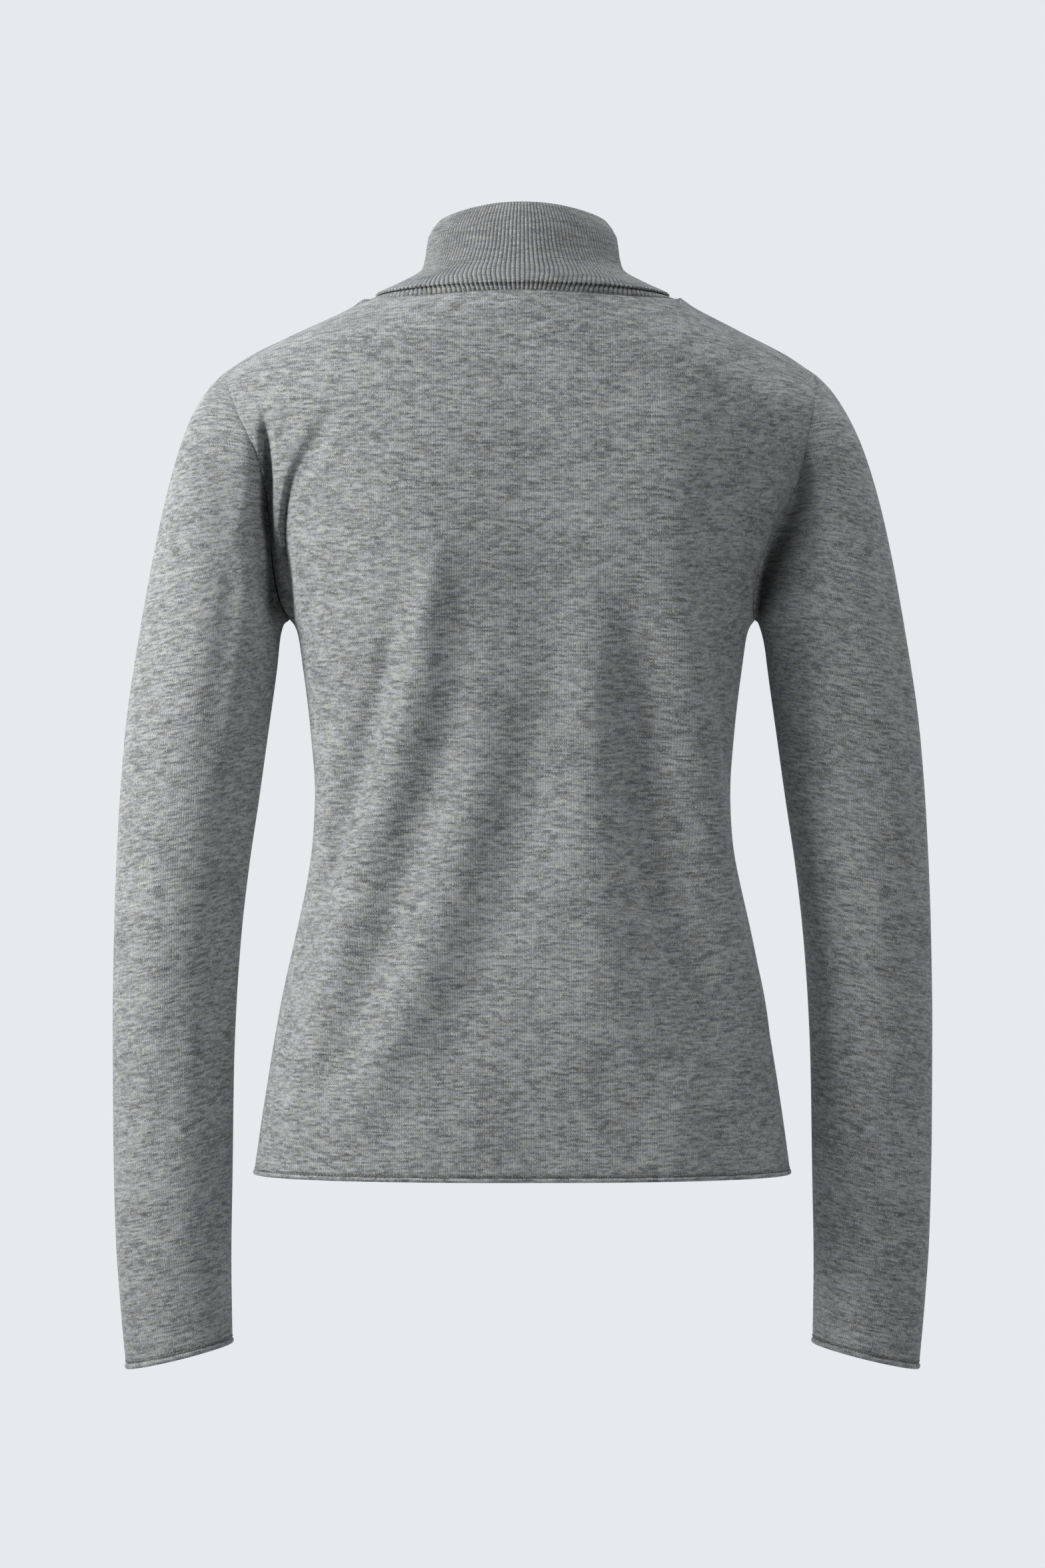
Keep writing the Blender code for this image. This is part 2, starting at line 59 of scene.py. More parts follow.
def table(columns, *rows):
    """Turn rows of sizes into one array for each named column."""
    return dict(zip(columns.split(), np.array(rows, dtype=float).T))


# ---- The garment's form ------------------------------------------
ARMPIT = 216.0
HEM = 580.5
SHOULDER_ROUND = 46.0    # height over which the shoulder turns from level to hanging
SHOULDER_TIP = 190.0     # half of the width from one sleeve seam to the other
CREST_Y = -5.0           # the top line of the shoulder lies this far in front of the neck's middle
NECK_SPREAD = 5.0        # the front leaves the side of the neck this far outwards,
NECK_SPREAD_REACH = 0.06     # over this share of the panel's half width
FULLNESS = 2.35          # exponent of the body's section: 2 is an ellipse, and more is squarer

# How far behind the neck's middle the shoulder seams lie, at shares of their way to the sleeve. Here and
# below, 1 is the wearer's left side or the back panel, and -1 is the right side or the front panel
SEAM_PLACES = np.array([0.0, 0.4, 1.0])
SEAM_BACK = {1: np.array([9.0, 10.0, 8.0]),
             -1: np.array([12.0, 27.0, 17.0])}

SIDE = table("down half_width",
             (216, 153.5), (221, 149.4), (246, 145.2), (290, 139.9), (334, 136.8), (356, 137.3),
             (378, 139.7), (422, 149.4), (466, 159.1), (510, 166.8), (554, 173.4), (580.5, 176.8))

MIDDLE = table("down back front",
               (0, 84, 66), (30, 89, 72), (60, 93.5, 84), (100, 98, 99), (150, 98.5, 112),
               (200, 94.5, 119), (250, 88, 117), (335, 77.5, 100), (420, 84, 98), (500, 91, 103),
               (580.5, 95, 106))

SHOULDER = table("out down",
                 (98, 3.8), (108, 7.9), (131.6, 17.6), (151.6, 26.4), (169.6, 35.2), (185.5, 44),
                 (190, 47))

# The armhole's edges on both panels, and the half width that the body's own section has at that height
ARMHOLE = table("down  back_x  back_y  front_x  front_y  body_x",
                (47,   188.6,   43.0,  189.2,   38.0,   206.0),
                (60,   193.5,   44.0,  193.0,   40.0,   203.0),
                (73,   189.5,   45.0,  187.0,   43.5,   199.0),
                (97,   180.5,   44.0,  175.5,   46.0,   190.0),
                (120,  174.5,   38.0,  167.0,   43.0,   180.0),
                (150,  169.5,   29.0,  161.0,   35.0,   167.0),
                (180,  165.5,   20.0,  158.5,   25.0,   157.5),
                (205,  160.0,   11.0,  156.0,   13.0,   151.0),
                (216,  153.5,    0.0,  153.5,    0.0,   149.4))

# How much further out the back's armholes lie than the table says: the left one sits in a valley, and the
# right sleeve pulls the body's side with it. The front follows the right one
PULL = {1: table("down out",
                 (84, 0), (98, -1.8), (112, -3.4), (128, -3.6), (150, -2.4), (180, -0.5), (216, 0)),
        -1: table("down out",
                  (47, -3.2), (59, -3.2), (66, -0.8), (73, 2), (97, 6), (120, 8), (137, 4.5), (150, -1.5),
                  (166, -6), (180, -9.5), (195, -9.5), (206, -7.5), (216, 0))}

NECK_HALF_WIDTH = 99.5
NECK_BACK = 83.5
NECK_FRONT = 73.5
NECK_SIDE_DOWN = 4.6
NECK_BACK_DOWN = 5.0
NECK_FRONT_DOWN = 39.5
NECK_DIP = 2.2

# Folded collar: ovals halfway between its two layers, from the seam up to the fold
COLLAR = table("half_width  back  front  side_z  back_z  front_z  half_gap  spread",
               (99.5, 83.5, 73.5,  -4.6,  -5.0, -39.5, 0.60,  0.157),
               (95.3, 83.0, 72.2,  -3.2,  -0.5, -34.8, 1.35,  0.115),
               (72.8, 69.2, 65.2,   7.8,  10.2, -19.0, 0.90, -0.030),
               (64.7, 64.0, 61.8,  13.6,  17.6, -10.5, 1.00, -0.040),
               (61.6, 60.0, 58.2,  23.0,  27.5,  -0.5, 1.20, -0.010),
               (59.6, 56.4, 55.4,  35.5,  41.0,  14.0, 1.50,  0.015),
               (53.4, 50.6, 50.6,  44.6,  52.6,  27.0, 1.80,  0.050))
TURN_EDGE = 1            # the row of COLLAR at which the turned-down layer ends

OUTER_ARM = table("down out",
                  (47, 190), (53, 198.7), (62, 207.5), (79, 217.4), (106, 227.3), (150, 238.7),
                  (220, 252.1), (290, 262.5), (356, 267.5), (422, 270.2), (488, 271.2), (554, 271),
                  (620, 269.6), (664, 266.8), (711, 262.6))

INNER_ARM = table("down out",
                  (216, 153.5), (219, 157.2), (229, 159.6), (246, 161.5), (290, 167.6), (334, 173.8),
                  (378, 180.4), (422, 185.5), (466, 188.8), (510, 190.7), (576, 191.8), (642, 192.9),
                  (694, 192.2))

SLEEVE = table("along outer_down inner_down half_depth forward",
               (0, 47, 216, 44, 0), (0.06, 68, 218, 46, 0), (0.14, 106, 223, 47.5, 0),
               (0.22, 150, 234, 48, 0), (0.32, 212, 262, 47, 1), (0.42, 276, 304, 45.5, 3),
               (0.55, 366, 374, 43, 6), (0.7, 474, 474, 40, 9), (0.85, 586, 580, 37, 12),
               (1, 711, 694, 34, 14))
SLEEVE_LENGTH = 640.0    # along its middle
ARMHOLE_FADE = 0.30      # share of the sleeve over which the armhole's own outline dies out

# ---- Creases -----------------------------------------------------
def crease(*rows):
    """A crease that runs down a panel.

    A row holds how far down it is, its place across the panel, its height (below 0 in a trough) and its half
    widths towards the wearer's left and right.
    """
    return table("down x height left right", *rows)


BACK_CREASES = (
    # left shoulder blade
    crease((50, 80, 0, 34, 30), (120, 78, 3.5, 36, 30), (180, 68, 4.6, 34, 24), (245, 64, 0, 30, 20)),
    # hollow over the spine
    crease((60, -8, 0, 30, 30), (134, -11, -3.5, 34, 34), (193, -14, -5.1, 30, 30),
           (260, -15, -3.4, 24, 24), (306, -8, -3.6, 21, 22), (345, 2, -3.7, 21, 22),
           (380, 11, -3.8, 21, 22), (417, 18, -3.8, 21, 22), (451, 28, -3.4, 21, 21),
           (501, 46, -2.6, 21, 20), (556, 60, 0, 20, 20)),
    # right shoulder blade, and the fold that falls from it
    crease((50, -104, 0, 30, 26), (134, -99, 7, 32, 16), (192, -99, 9.6, 24, 13),
           (230, -104, 12.5, 22, 12), (268, -109, 14.5, 21, 12), (307, -113, 15.5, 20, 12),
           (345, -118, 15, 20, 11), (375, -123, 13.2, 19, 10), (406, -130, 10.8, 18, 10),
           (444, -141, 7.2, 17, 10), (490, -156, 0, 12, 9)),
    # the long fold from the left shoulder blade
    crease((160, 55, 0, 12, 9), (192, 58, 5, 9, 12), (230, 64, 6.8, 10, 16), (263, 71, 7.8, 11, 18),
           (306, 81, 8, 12, 18), (352, 95, 7.6, 14, 17), (405, 111, 7, 14, 17), (441, 122, 6.4, 13, 17),
           (480, 133, 5.2, 12, 16), (535, 149, 3.6, 12, 15), (590, 164, 2.4, 12, 14)),
    crease((185, 42, 0, 10, 12), (240, 43, -1.2, 12, 13), (287, 50, -2.4, 13, 13),
           (333, 62, -3.8, 13, 14), (382, 77, -4.2, 13, 14), (441, 96, -3.8, 13, 14),
           (497, 115, -2.4, 12, 14), (530, 126, 0, 12, 14)),
    crease((265, 22, 0, 12, 12), (292, 25, 2.2, 15, 16), (322, 30, 4.4, 17, 19), (383, 46, 6, 17, 20),
           (421, 58, 6.2, 17, 20), (471, 76, 6, 17, 20), (520, 100, 3.8, 18, 17), (566, 118, 0, 16, 16)),
    crease((205, -44, 0, 18, 15), (263, -45, 4.4, 21, 16), (306, -45, 6.4, 24, 17),
           (352, -45, 7.4, 26, 19), (400, -48, 6.4, 28, 22), (441, -52, 5, 28, 26),
           (501, -55, 2.4, 28, 28), (550, -50, 0, 28, 28)),
    crease((190, -66, 0, 12, 12), (225, -70, -3.2, 13, 14), (255, -72, -5.4, 13, 14),
           (300, -74, -7, 13, 14), (345, -76, -7.8, 13, 14), (375, -82, -8, 13, 14),
           (406, -90, -7.6, 13, 14), (451, -106, -6.6, 13, 14), (482, -120, -4.6, 14, 14),
           (520, -138, -2.6, 14, 14), (560, -154, 0, 14, 14)),
    # short ones at the left side
    crease((185, 78, 0, 6, 6), (215, 84, -1.8, 7, 7), (242, 88, -2.8, 7, 7), (284, 99, -3.6, 8, 7),
           (326, 108, -3.6, 8, 7), (360, 118, -3, 8, 7), (400, 130, -1.6, 8, 8), (440, 140, 0, 8, 8)),
    crease((240, 104, 0, 9, 8), (299, 117, 2.6, 10, 9), (345, 126, 2.6, 10, 9), (380, 134, 1.8, 9, 9),
           (420, 143, 0, 9, 9)),
    crease((410, 141, 0, 7, 7), (450, 148, -2.4, 7, 8), (500, 155, -2.4, 8, 8), (545, 161, 0, 9, 9)),
    # a thin one at the right side
    crease((275, -121, 0, 4, 4), (305, -124, 1.6, 4, 4), (364, -132, 1.8, 4, 4), (405, -142, 1.4, 4, 4),
           (445, -153, 0, 4, 4)),
    # waves of the hem
    crease((470, -128, 0, 20, 20), (520, -110, 3.2, 20, 22), (560, -100, 3.4, 22, 24),
           (600, -98, 3.4, 24, 26)),
    crease((480, -52, 0, 12, 12), (505, -55, -1.8, 12, 12), (540, -52, 0, 12, 12)),
    crease((520, -12, 0, 26, 26), (565, -14, -2.4, 28, 28), (600, -14, -2.7, 28, 28)))

FRONT_CREASES = (
    crease((150, -62, 0, 12, 18), (205, -66, 4.1, 11, 19), (290, -84, 5.7, 11, 18),
           (380, -106, 4.3, 12, 17), (470, -132, 0, 13, 16)),
    crease((200, -44, 0, 13, 11), (280, -56, -4.1, 15, 12), (360, -72, -4.9, 15, 13),
           (440, -94, -3.2, 14, 13), (520, -120, 0, 14, 13)),
    crease((260, -22, 0, 15, 15), (350, -34, 3.8, 16, 15), (430, -52, 4.9, 17, 15), (500, -74, 3, 18, 16),
           (560, -92, 0, 18, 16)),
    crease((190, 6, 0, 24, 24), (270, 4, -3.2, 22, 20), (370, -6, -4.6, 20, 19), (460, -18, -4.9, 20, 20),
           (560, -30, 0, 22, 22)),
    crease((215, 38, 0, 14, 16), (300, 38, 4.1, 15, 18), (390, 44, 5.7, 17, 20), (470, 52, 3.5, 20, 22),
           (550, 58, 0, 22, 22)),
    crease((205, 58, 0, 11, 12), (290, 70, -4.6, 12, 14), (375, 86, -5.9, 13, 15),
           (450, 106, -3.8, 14, 16), (530, 134, 0, 14, 16)),
    crease((165, 82, 0, 14, 16), (230, 90, 4.9, 13, 16), (320, 110, 4.1, 12, 14), (400, 130, 3, 10, 12),
           (470, 146, 0, 10, 12)),
    crease((330, -118, 0, 8, 8), (400, -128, -2.2, 8, 8), (470, -142, -2.2, 9, 9), (540, -158, 0, 9, 9)),
    crease((95, 118, 0, 9, 9), (130, 128, -3, 9, 9), (170, 130, -3.8, 9, 10), (215, 122, 0, 10, 12)),
    crease((85, -120, 0, 10, 10), (130, -130, -3.5, 10, 9), (180, -126, -3.2, 11, 9),
           (235, -112, 0, 12, 10)),
    crease((505, 92, 0, 24, 24), (560, 84, 2.2, 26, 26), (600, 84, 2.4, 26, 26)))

# A sleeve's crease: an angle round it (0 outside, 90 behind, 180 inside) that drifts down its length
SLEEVE_CREASES = {
    1: table("angle1 down1 angle2 down2 height before after",
             (150, 90, 148, 690, -4.2, 30, 22),
             (104, 95, 106, 330, -2.2, 11, 10),
             (146, 240, 122, 560, -1.8, 16, 14),
             (58, 300, 82, 540, 2, 22, 20),
             (100, 420, 70, 650, -1.6, 18, 16),
             (238, 250, 264, 540, -2.2, 18, 20),
             (300, 330, 290, 620, 1.6, 20, 22)),
    -1: table("angle1 down1 angle2 down2 height before after",
              (36, 140, 30, 400, -2.6, 10, 7),
              (70, 150, 50, 420, 2.4, 13, 16),
              (120, 280, 100, 590, -2.2, 18, 20),
              (248, 270, 232, 580, 2, 20, 18),
              (296, 240, 312, 560, -1.8, 18, 16))}

# The valley between the back and the left sleeve: its edges on the body's side and on the sleeve's side, how
# deep it goes, and how far each of its banks takes to fall
VALLEY = "down body_x sleeve_x depth bank"
ARMHOLE_VALLEYS = (
    table(VALLEY, (76, 163.6, 172, 0, 6), (84, 162.6, 172.4, 2.5, 6), (91, 161.8, 173, 6.5, 6),
          (98, 161.2, 173.2, 11.5, 5.6), (106, 161, 173, 15.5, 5), (123, 161.2, 172.2, 20.5, 4),
          (145, 162, 171.8, 23.5, 3.4), (159, 161.8, 170.4, 24.5, 3), (170, 160.6, 169.4, 25, 2.8),
          (181, 158.6, 168.6, 25, 2.8), (196, 156.6, 168, 22, 3), (208, 155, 167.2, 17, 3),
          (216, 154, 166, 9, 3), (224, 153, 165, 0, 3)),
    # where it widens above the armpit
    table(VALLEY, (146, 152.8, 170, 0, 2.8), (158, 152, 169.6, 8, 2.8), (170, 151, 169, 15, 2.8),
          (184, 150, 168.4, 21, 2.6), (196, 149.1, 167.8, 21, 2.6), (208, 148.3, 167, 17, 2.6),
          (216, 147.8, 165.8, 9, 2.6), (224, 147.8, 165, 0, 2.6)))

# Troughs beside the armholes: the left one runs in from the shoulder blade and leaves a thin ridge between
# itself and the valley, and the right ones part the sleeve from the body
ARMHOLE_TROUGHS = (
    crease((78, 118, 0, 8, 9), (87, 125, -3, 6, 8), (94, 129, -4.6, 5.5, 8), (103, 135, -6.6, 5.5, 8),
           (111, 141, -8.2, 5.2, 8), (121, 147, -10, 4.6, 7.4), (132, 151.5, -12.5, 3.6, 6),
           (145, 154.4, -14.5, 3, 4.4), (159, 155.6, -16, 2.9, 3.6), (170, 155, -18, 3, 3.4),
           (184, 153.4, -20, 3, 3), (196, 152.4, -18, 3, 2.8), (208, 151.4, -12, 3, 2.8),
           (220, 150.4, 0, 3, 2.8)),
    # a broad one that sets the thin ridge back
    crease((104, 158, 0, 9, 7), (120, 159, -2.5, 9, 7), (140, 160, -5, 9, 6), (165, 160, -6, 9, 5.5),
           (195, 158, -5, 9, 5.5), (220, 155, 0, 9, 5.5)),
    # the wide right one
    crease((94, -170, 0, 8, 8), (101, -173, -2, 8, 7), (111, -177, -5, 8, 7), (123, -180.5, -8, 8, 7),
           (137, -176.5, -11, 7, 9), (152, -171, -13, 6, 12), (166, -166, -13, 5.5, 15),
           (181, -161, -13, 4.5, 16), (195, -158, -11, 4.2, 16), (210, -156, -7, 4, 14),
           (220, -154, 0, 4, 12)),
    # its deep line along the body
    crease((124, -182, 0, 5, 6), (138, -178.5, -5, 4.5, 8), (152, -172.5, -11, 4.2, 9),
           (166, -166, -18, 4, 10), (181, -160.4, -23, 3.6, 10), (195, -157.6, -22, 3.4, 10),
           (208, -155.8, -14, 3.2, 9), (220, -154, 0, 3.2, 8)))

# Soft ridges of the sleeves along the valley and the right trough
ARMHOLE_RIDGES = (
    crease((80, 178, 0, 9, 4.6), (96, 179, 3, 11, 4.4), (112, 179, 5, 12, 4.4), (132, 179, 6.4, 12, 4.6),
           (165, 180, 7.4, 11, 5), (192, 179, 5.6, 11, 5), (215, 173, 1.6, 12, 4.6),
           (230, 172, 0, 12, 4.6)),
    crease((98, -186, 0, 4, 6), (114, -189.5, 2.6, 3.6, 6), (136, -192.5, 3, 4.5, 7),
           (165, -195, 1.8, 6, 8), (205, -198, 0, 7, 9)))
TROUGH_FRONT = -4.0      # in front of this there are no valleys, troughs and ridges,
TROUGH_FADE = 14.0       # and they rise over this distance behind it


def curve(at, xs, ys):
    """Read a smooth curve through points whose xs rise. It never overshoots a point."""
    rates = np.diff(ys) / np.diff(xs)
    before, after = rates[:-1], rates[1:]
    same_way = before * after > 0
    bends = np.where(same_way, 2 * before * after / np.where(same_way, before + after, 1), 0)
    slopes = np.concatenate([rates[:1], bends, rates[-1:]])
    at = np.clip(at, xs[0], xs[-1])
    i = np.clip(np.searchsorted(xs, at) - 1, 0, len(xs) - 2)
    step = xs[i + 1] - xs[i]
    t = (at - xs[i]) / step
    start = (1 + 2 * t) * (1 - t) ** 2 * ys[i] + t * (1 - t) ** 2 * step * slopes[i]
    end = t * t * (3 - 2 * t) * ys[i + 1] + t * t * (t - 1) * step * slopes[i + 1]
    return start + end


def read(sizes, at, name, key="down"):
    """Read one column of a table at places in another."""
    return curve(at, sizes[key], sizes[name])


def ease(t):
    """Rise smoothly from 0 to 1."""
    t = np.clip(t, 0.0, 1.0)
    return t * t * (3 - 2 * t)


def unit(vectors):
    """The same directions, with a length of 1."""
    return vectors / np.maximum(np.linalg.norm(vectors, axis=-1, keepdims=True), 1e-12)


def bell(away, left, right):
    """A rounded bump, with its own half width on each side."""
    return np.exp(-(away / np.where(away > 0, left, right)) ** 2)


# ---- Grids of points ---------------------------------------------
SHOULDER_COLUMNS = {1: 70, -1: 48}   # on the back and on the front
NECK_COLUMNS = 80
UPPER_ROWS = 88
LOWER_ROWS = 100
SLEEVE_RINGS = 196
ARC_STEPS = 33
COLUMN_CROWDING = {1: 0.74, -1: 0.6}     # 0 spaces columns evenly, and 1 crowds them towards the side seams
RING_CROWDING = 0.60     # the same for a sleeve's rings towards the armhole
NECK_END = 1 / 3         # share of a shoulder seam over which it joins the neck's height
OUTER_PART = 0.4         # columns beyond this share of a panel's width squeeze in to the armhole,
EDGE_PART = 0.75         # and those beyond this one move out to its edge
SMOOTHING = (0.6, -0.62)     # moves towards the neighbouring points and back, in shares of the way
SMOOTHING_ROUNDS = 12

# The rolled edge of the hem and the cuffs: distances of its rows from the edge, and how far they stand out
ROLL = table("distance out",
             (9, 0), (6.4, 0), (4.9, 0), (4.4, -0.3), (3.9, -0.95), (3.4, -1), (2.9, -0.6), (2.5, 0.3),
             (2, 0.7), (1.3, 0.85), (0.7, 0.7), (0.2, 0.35), (0, 0))
STITCH_ROW = 4           # the row of ROLL that the edge's stitches lie on
PANEL_STITCH_ROW = len(ROLL["out"]) - 1 - STITCH_ROW     # the same row in a panel's grid,
SLEEVE_STITCH_ROW = STITCH_ROW - len(ROLL["out"])        # and in a sleeve's, from its end
STITCH_LIFT = 0.90       # how far the stitches' middles lie outside that row
STITCH_SLIMNESS = 0.27   # a stitch's thickness in shares of its length
STITCH_LEAN = 60         # degrees that a stitch leans away from the edge


def neck_seam(angle):
    """Points of the neck seam at angles in radians: 0 is the wearer's left, and pi / 2 is the back."""
    behind = np.sin(angle) >= 0
    depth = np.where(behind, NECK_BACK, NECK_FRONT)
    end_down = np.where(behind, NECK_BACK_DOWN, NECK_FRONT_DOWN)
    dip = np.where(behind, NECK_DIP, 0.0) * np.sin(2 * angle) ** 2
    down = NECK_SIDE_DOWN + (end_down - NECK_SIDE_DOWN) * np.sin(angle) ** 2 + dip
    return np.stack([NECK_HALF_WIDTH * np.cos(angle), depth * np.sin(angle), -down], axis=-1)


def neck_angles(face):
    """Angles of a panel's neck edge from the wearer's right to the left. face is 1 behind, -1 in front."""
    left = math.asin(SEAM_BACK[1][0] / NECK_BACK)
    right = math.pi - math.asin(SEAM_BACK[-1][0] / NECK_BACK)
    end = left if face > 0 else left + 2 * math.pi
    return np.linspace(right, end, NECK_COLUMNS + 1)


def body_section(share, middle_y):
    """How far the body lies behind or in front of the neck's middle, at shares of its half width."""
    return middle_y * (1 - np.clip(np.abs(share), 0, 1) ** FULLNESS) ** (1 / FULLNESS)


def section_share(y, middle_y):
    """The share of the half width at which the body's section is y deep."""
    return (1 - np.clip(y / middle_y, 0, 1) ** FULLNESS) ** (1 / FULLNESS)


def shoulder_seam(side, neck_end, columns):
    """The shoulder seam of one side (1 is the wearer's left), from its neck end to the sleeve."""
    out = np.linspace(abs(neck_end[0]), SHOULDER_TIP, columns + 1)
    along = np.linspace(0, 1, columns + 1)
    y = curve(along, SEAM_PLACES, SEAM_BACK[side])
    down = read(SHOULDER, out, "down", "out")
    depth = body_section(out / ARMHOLE["body_x"][0], read(MIDDLE, down, "front"))
    behind = (y - CREST_Y) / (depth + CREST_Y)
    down += SHOULDER_ROUND * (1 - np.sqrt(1 - behind ** 2))
    down += (-neck_end[2] - down[0]) * (1 - ease(along / NECK_END))
    return np.stack([side * out, y, -down], axis=-1)


def panel_top(face):
    """Top edge of a panel: a shoulder seam, the neck seam and the other shoulder seam."""
    neck = neck_seam(neck_angles(face))
    right = shoulder_seam(-1, neck[0], SHOULDER_COLUMNS[face])
    left = shoulder_seam(1, neck[-1], SHOULDER_COLUMNS[face])
    return np.concatenate([right[:0:-1], neck, left[1:]])


def relaxed(points):
    """Even out a grid's small kinks, without shrinking it, and leave its edges where they are."""
    points = points.copy()
    for share in SMOOTHING * SMOOTHING_ROUNDS:
        inner = points[1:-1, 1:-1]
        around = points[:-2, 1:-1] + points[2:, 1:-1] + points[1:-1, :-2] + points[1:-1, 2:]
        points[1:-1, 1:-1] = inner + (around / 4 - inner) * share
    return points


def across_cloth(x, down, lean, name):
    """Running length over a panel from its middle to points at x, at their own heights.

    lean is how upright the cloth is there, from 0 on top of the shoulder to 1 below it.
    """
    below = down > ARMPIT
    half = np.where(below, read(SIDE, down, "half_width"), read(ARMHOLE, down, "body_x"))
    share = np.minimum(np.abs(x) / half, 1)
    steps = share[..., None] * np.linspace(0, 1, ARC_STEPS)
    depth = body_section(steps, (read(MIDDLE, down, name) * lean)[..., None])
    run = np.hypot(np.diff(steps * half[..., None], axis=-1), np.diff(depth, axis=-1)).sum(axis=-1)
    return np.sign(x) * (run + np.abs(x) - share * half)


def panel_form(face):
    """Outer face of the back (face 1) or the front (face -1) without creases: rows of points from the hem.

    Returns the points and the place of each in the flat cloth, across it from its middle and up it.
    """
    name = "back" if face > 0 else "front"
    top = panel_top(face)
    across = np.linspace(-1, 1, len(top))
    even = across + COLUMN_CROWDING[face] * (np.sin(across * math.pi / 2) - across)
    top_share = top[:, 0] / ARMHOLE["body_x"][0]
    top_depth = body_section(top_share, read(MIDDLE, -top[:, 2], name))
    towards_end = ease((np.abs(across) - OUTER_PART) / (1 - OUTER_PART))
    at_end = ease((np.abs(across) - EDGE_PART) / (1 - EDGE_PART))

    crest_y = face * CREST_Y
    start = np.arcsin((face * top[:, 1] - crest_y) / (top_depth - crest_y))
    crest_down = -top[:, 2] - SHOULDER_ROUND * (1 - np.cos(start))
    fall_top = SHOULDER_ROUND * start
    fall_armpit = SHOULDER_ROUND * (math.pi / 2 - 1) + ARMPIT - crest_down
    neck_end = 1 - 2 * SHOULDER_COLUMNS[face] / (len(top) - 1)
    near_neck_end = np.exp(-((np.abs(across) - neck_end) / NECK_SPREAD_REACH) ** 2) * (face < 0)

    rows = []
    for k in range(UPPER_ROWS):
        t = k / UPPER_ROWS
        rise = (t + ease(t)) / 2
        fall = fall_armpit + (fall_top - fall_armpit) * rise
        turn = np.minimum(fall / SHOULDER_ROUND, math.pi / 2)
        down = crest_down + SHOULDER_ROUND * (1 - np.cos(turn) - turn) + fall
        middle = read(MIDDLE, down, name)
        half = read(ARMHOLE, down, "body_x")
        edge_x = read(ARMHOLE, down, name + "_x")
        edge_share = section_share(read(ARMHOLE, down, name + "_y"), middle)
        share = even + (top_share - even) * ease(t)
        end_share = 1 + (abs(top_share[0]) - 1) * ease(t)
        share *= 1 + (edge_share / end_share - 1) * towards_end
        x = share * half + np.sign(across) * (edge_x - edge_share * half) * at_end
        x += NECK_SPREAD * near_neck_end * t ** 2 * np.sign(across)
        for side in (1, -1) if face > 0 else (-1,):
            x += side * read(PULL[side], down, "out") * ease(2 * across * side - 1)
        lean = np.sin(turn)
        y = crest_y + (body_section(share, middle) - crest_y) * lean
        rows.append(np.stack([x, face * y, -down, lean, -fall - crest_down], axis=-1))
    rows.append(np.concatenate([top, np.sin(start)[:, None], (-fall_top - crest_down)[:, None]], axis=1))

    level = np.linspace(ARMPIT, HEM - ROLL["distance"][0], LOWER_ROWS + 1)[1:]
    for down in np.concatenate([level, HEM - ROLL["distance"][1:]]):
        half = curve(down, SIDE["down"][1:], SIDE["half_width"][1:])
        x = even * half + np.sign(across) * (read(SIDE, down, "half_width") - half) * at_end
        y = body_section(even, read(MIDDLE, down, name))
        up = -down - SHOULDER_ROUND * (math.pi / 2 - 1)
        level_values = [np.full(len(top), value) for value in (-down, 1.0, up)]
        rows.insert(0, np.stack([x, face * y] + level_values, axis=-1))
    points = np.array(rows)
    roll_rows = len(ROLL["distance"])
    points[roll_rows:] = relaxed(points[roll_rows:])
    form, lean, up = points[..., :3], points[..., 3], points[..., 4]
    return form, np.stack([across_cloth(form[..., 0], -form[..., 2], lean, name), up + HEM], axis=-1)


def sleeve_form(side, back, front):
    """Outer face of a sleeve without creases, for the wearer's left: rings of points from the armhole.

    A ring starts under the arm, climbs its front, passes the outside and comes down behind.
    """
    edge = -1 if side > 0 else 0
    behind = back[::-1, edge][:UPPER_ROWS + 1]
    before = front[-UPPER_ROWS:-1, edge]
    armhole = np.concatenate([behind, before]) * (side, 1, 1)
    angles = 2 * math.pi * np.arange(len(armhole)) / len(armhole)

    roll = ROLL["distance"] / SLEEVE_LENGTH
    rings = np.arange(SLEEVE_RINGS) / SLEEVE_RINGS
    rings = (rings * (1 - RING_CROWDING) + rings ** 2 * RING_CROWDING) * (1 - roll[0])
    along = np.concatenate([rings, 1 - roll])
    sizes = {name: read(SLEEVE, along, name, "along") for name in SLEEVE}
    outer = np.stack([read(OUTER_ARM, sizes["outer_down"], "out"), -sizes["outer_down"]])
    inner = np.stack([read(INNER_ARM, sizes["inner_down"], "out"), -sizes["inner_down"]])
    middle = (outer + inner) / 2
    reach = (outer - inner) / 2
    x = middle[0][:, None] + reach[0][:, None] * np.cos(angles)
    z = middle[1][:, None] + reach[1][:, None] * np.cos(angles)
    y = sizes["half_depth"][:, None] * np.sin(angles) - sizes["forward"][:, None]
    points = np.stack([x, y, z], axis=-1)
    points += (armhole - points[0]) * (1 - ease(along / ARMHOLE_FADE))[:, None, None]
    turned = np.roll(points, -UPPER_ROWS, axis=1)
    return turned, np.degrees(np.roll(angles, -UPPER_ROWS))


def grid_normals(points, is_tube=False):
    """Normals of a grid's points, in the direction of rows cross columns."""
    if is_tube:
        points = np.concatenate([points[:, -1:], points, points[:, :1]], axis=1)
    down_rows, along_row = np.gradient(points, axis=(0, 1))
    normals = unit(np.cross(along_row, down_rows))
    return normals[:, 1:-1] if is_tube else normals


def crease_relief(creases, x, down):
    """Height of creases at the points of a panel."""
    relief = np.zeros_like(x)
    for rows in creases:
        sizes = {name: read(rows, down, name) for name in ("x", "height", "left", "right")}
        relief += sizes["height"] * bell(x - sizes["x"], sizes["left"], sizes["right"])
    return relief


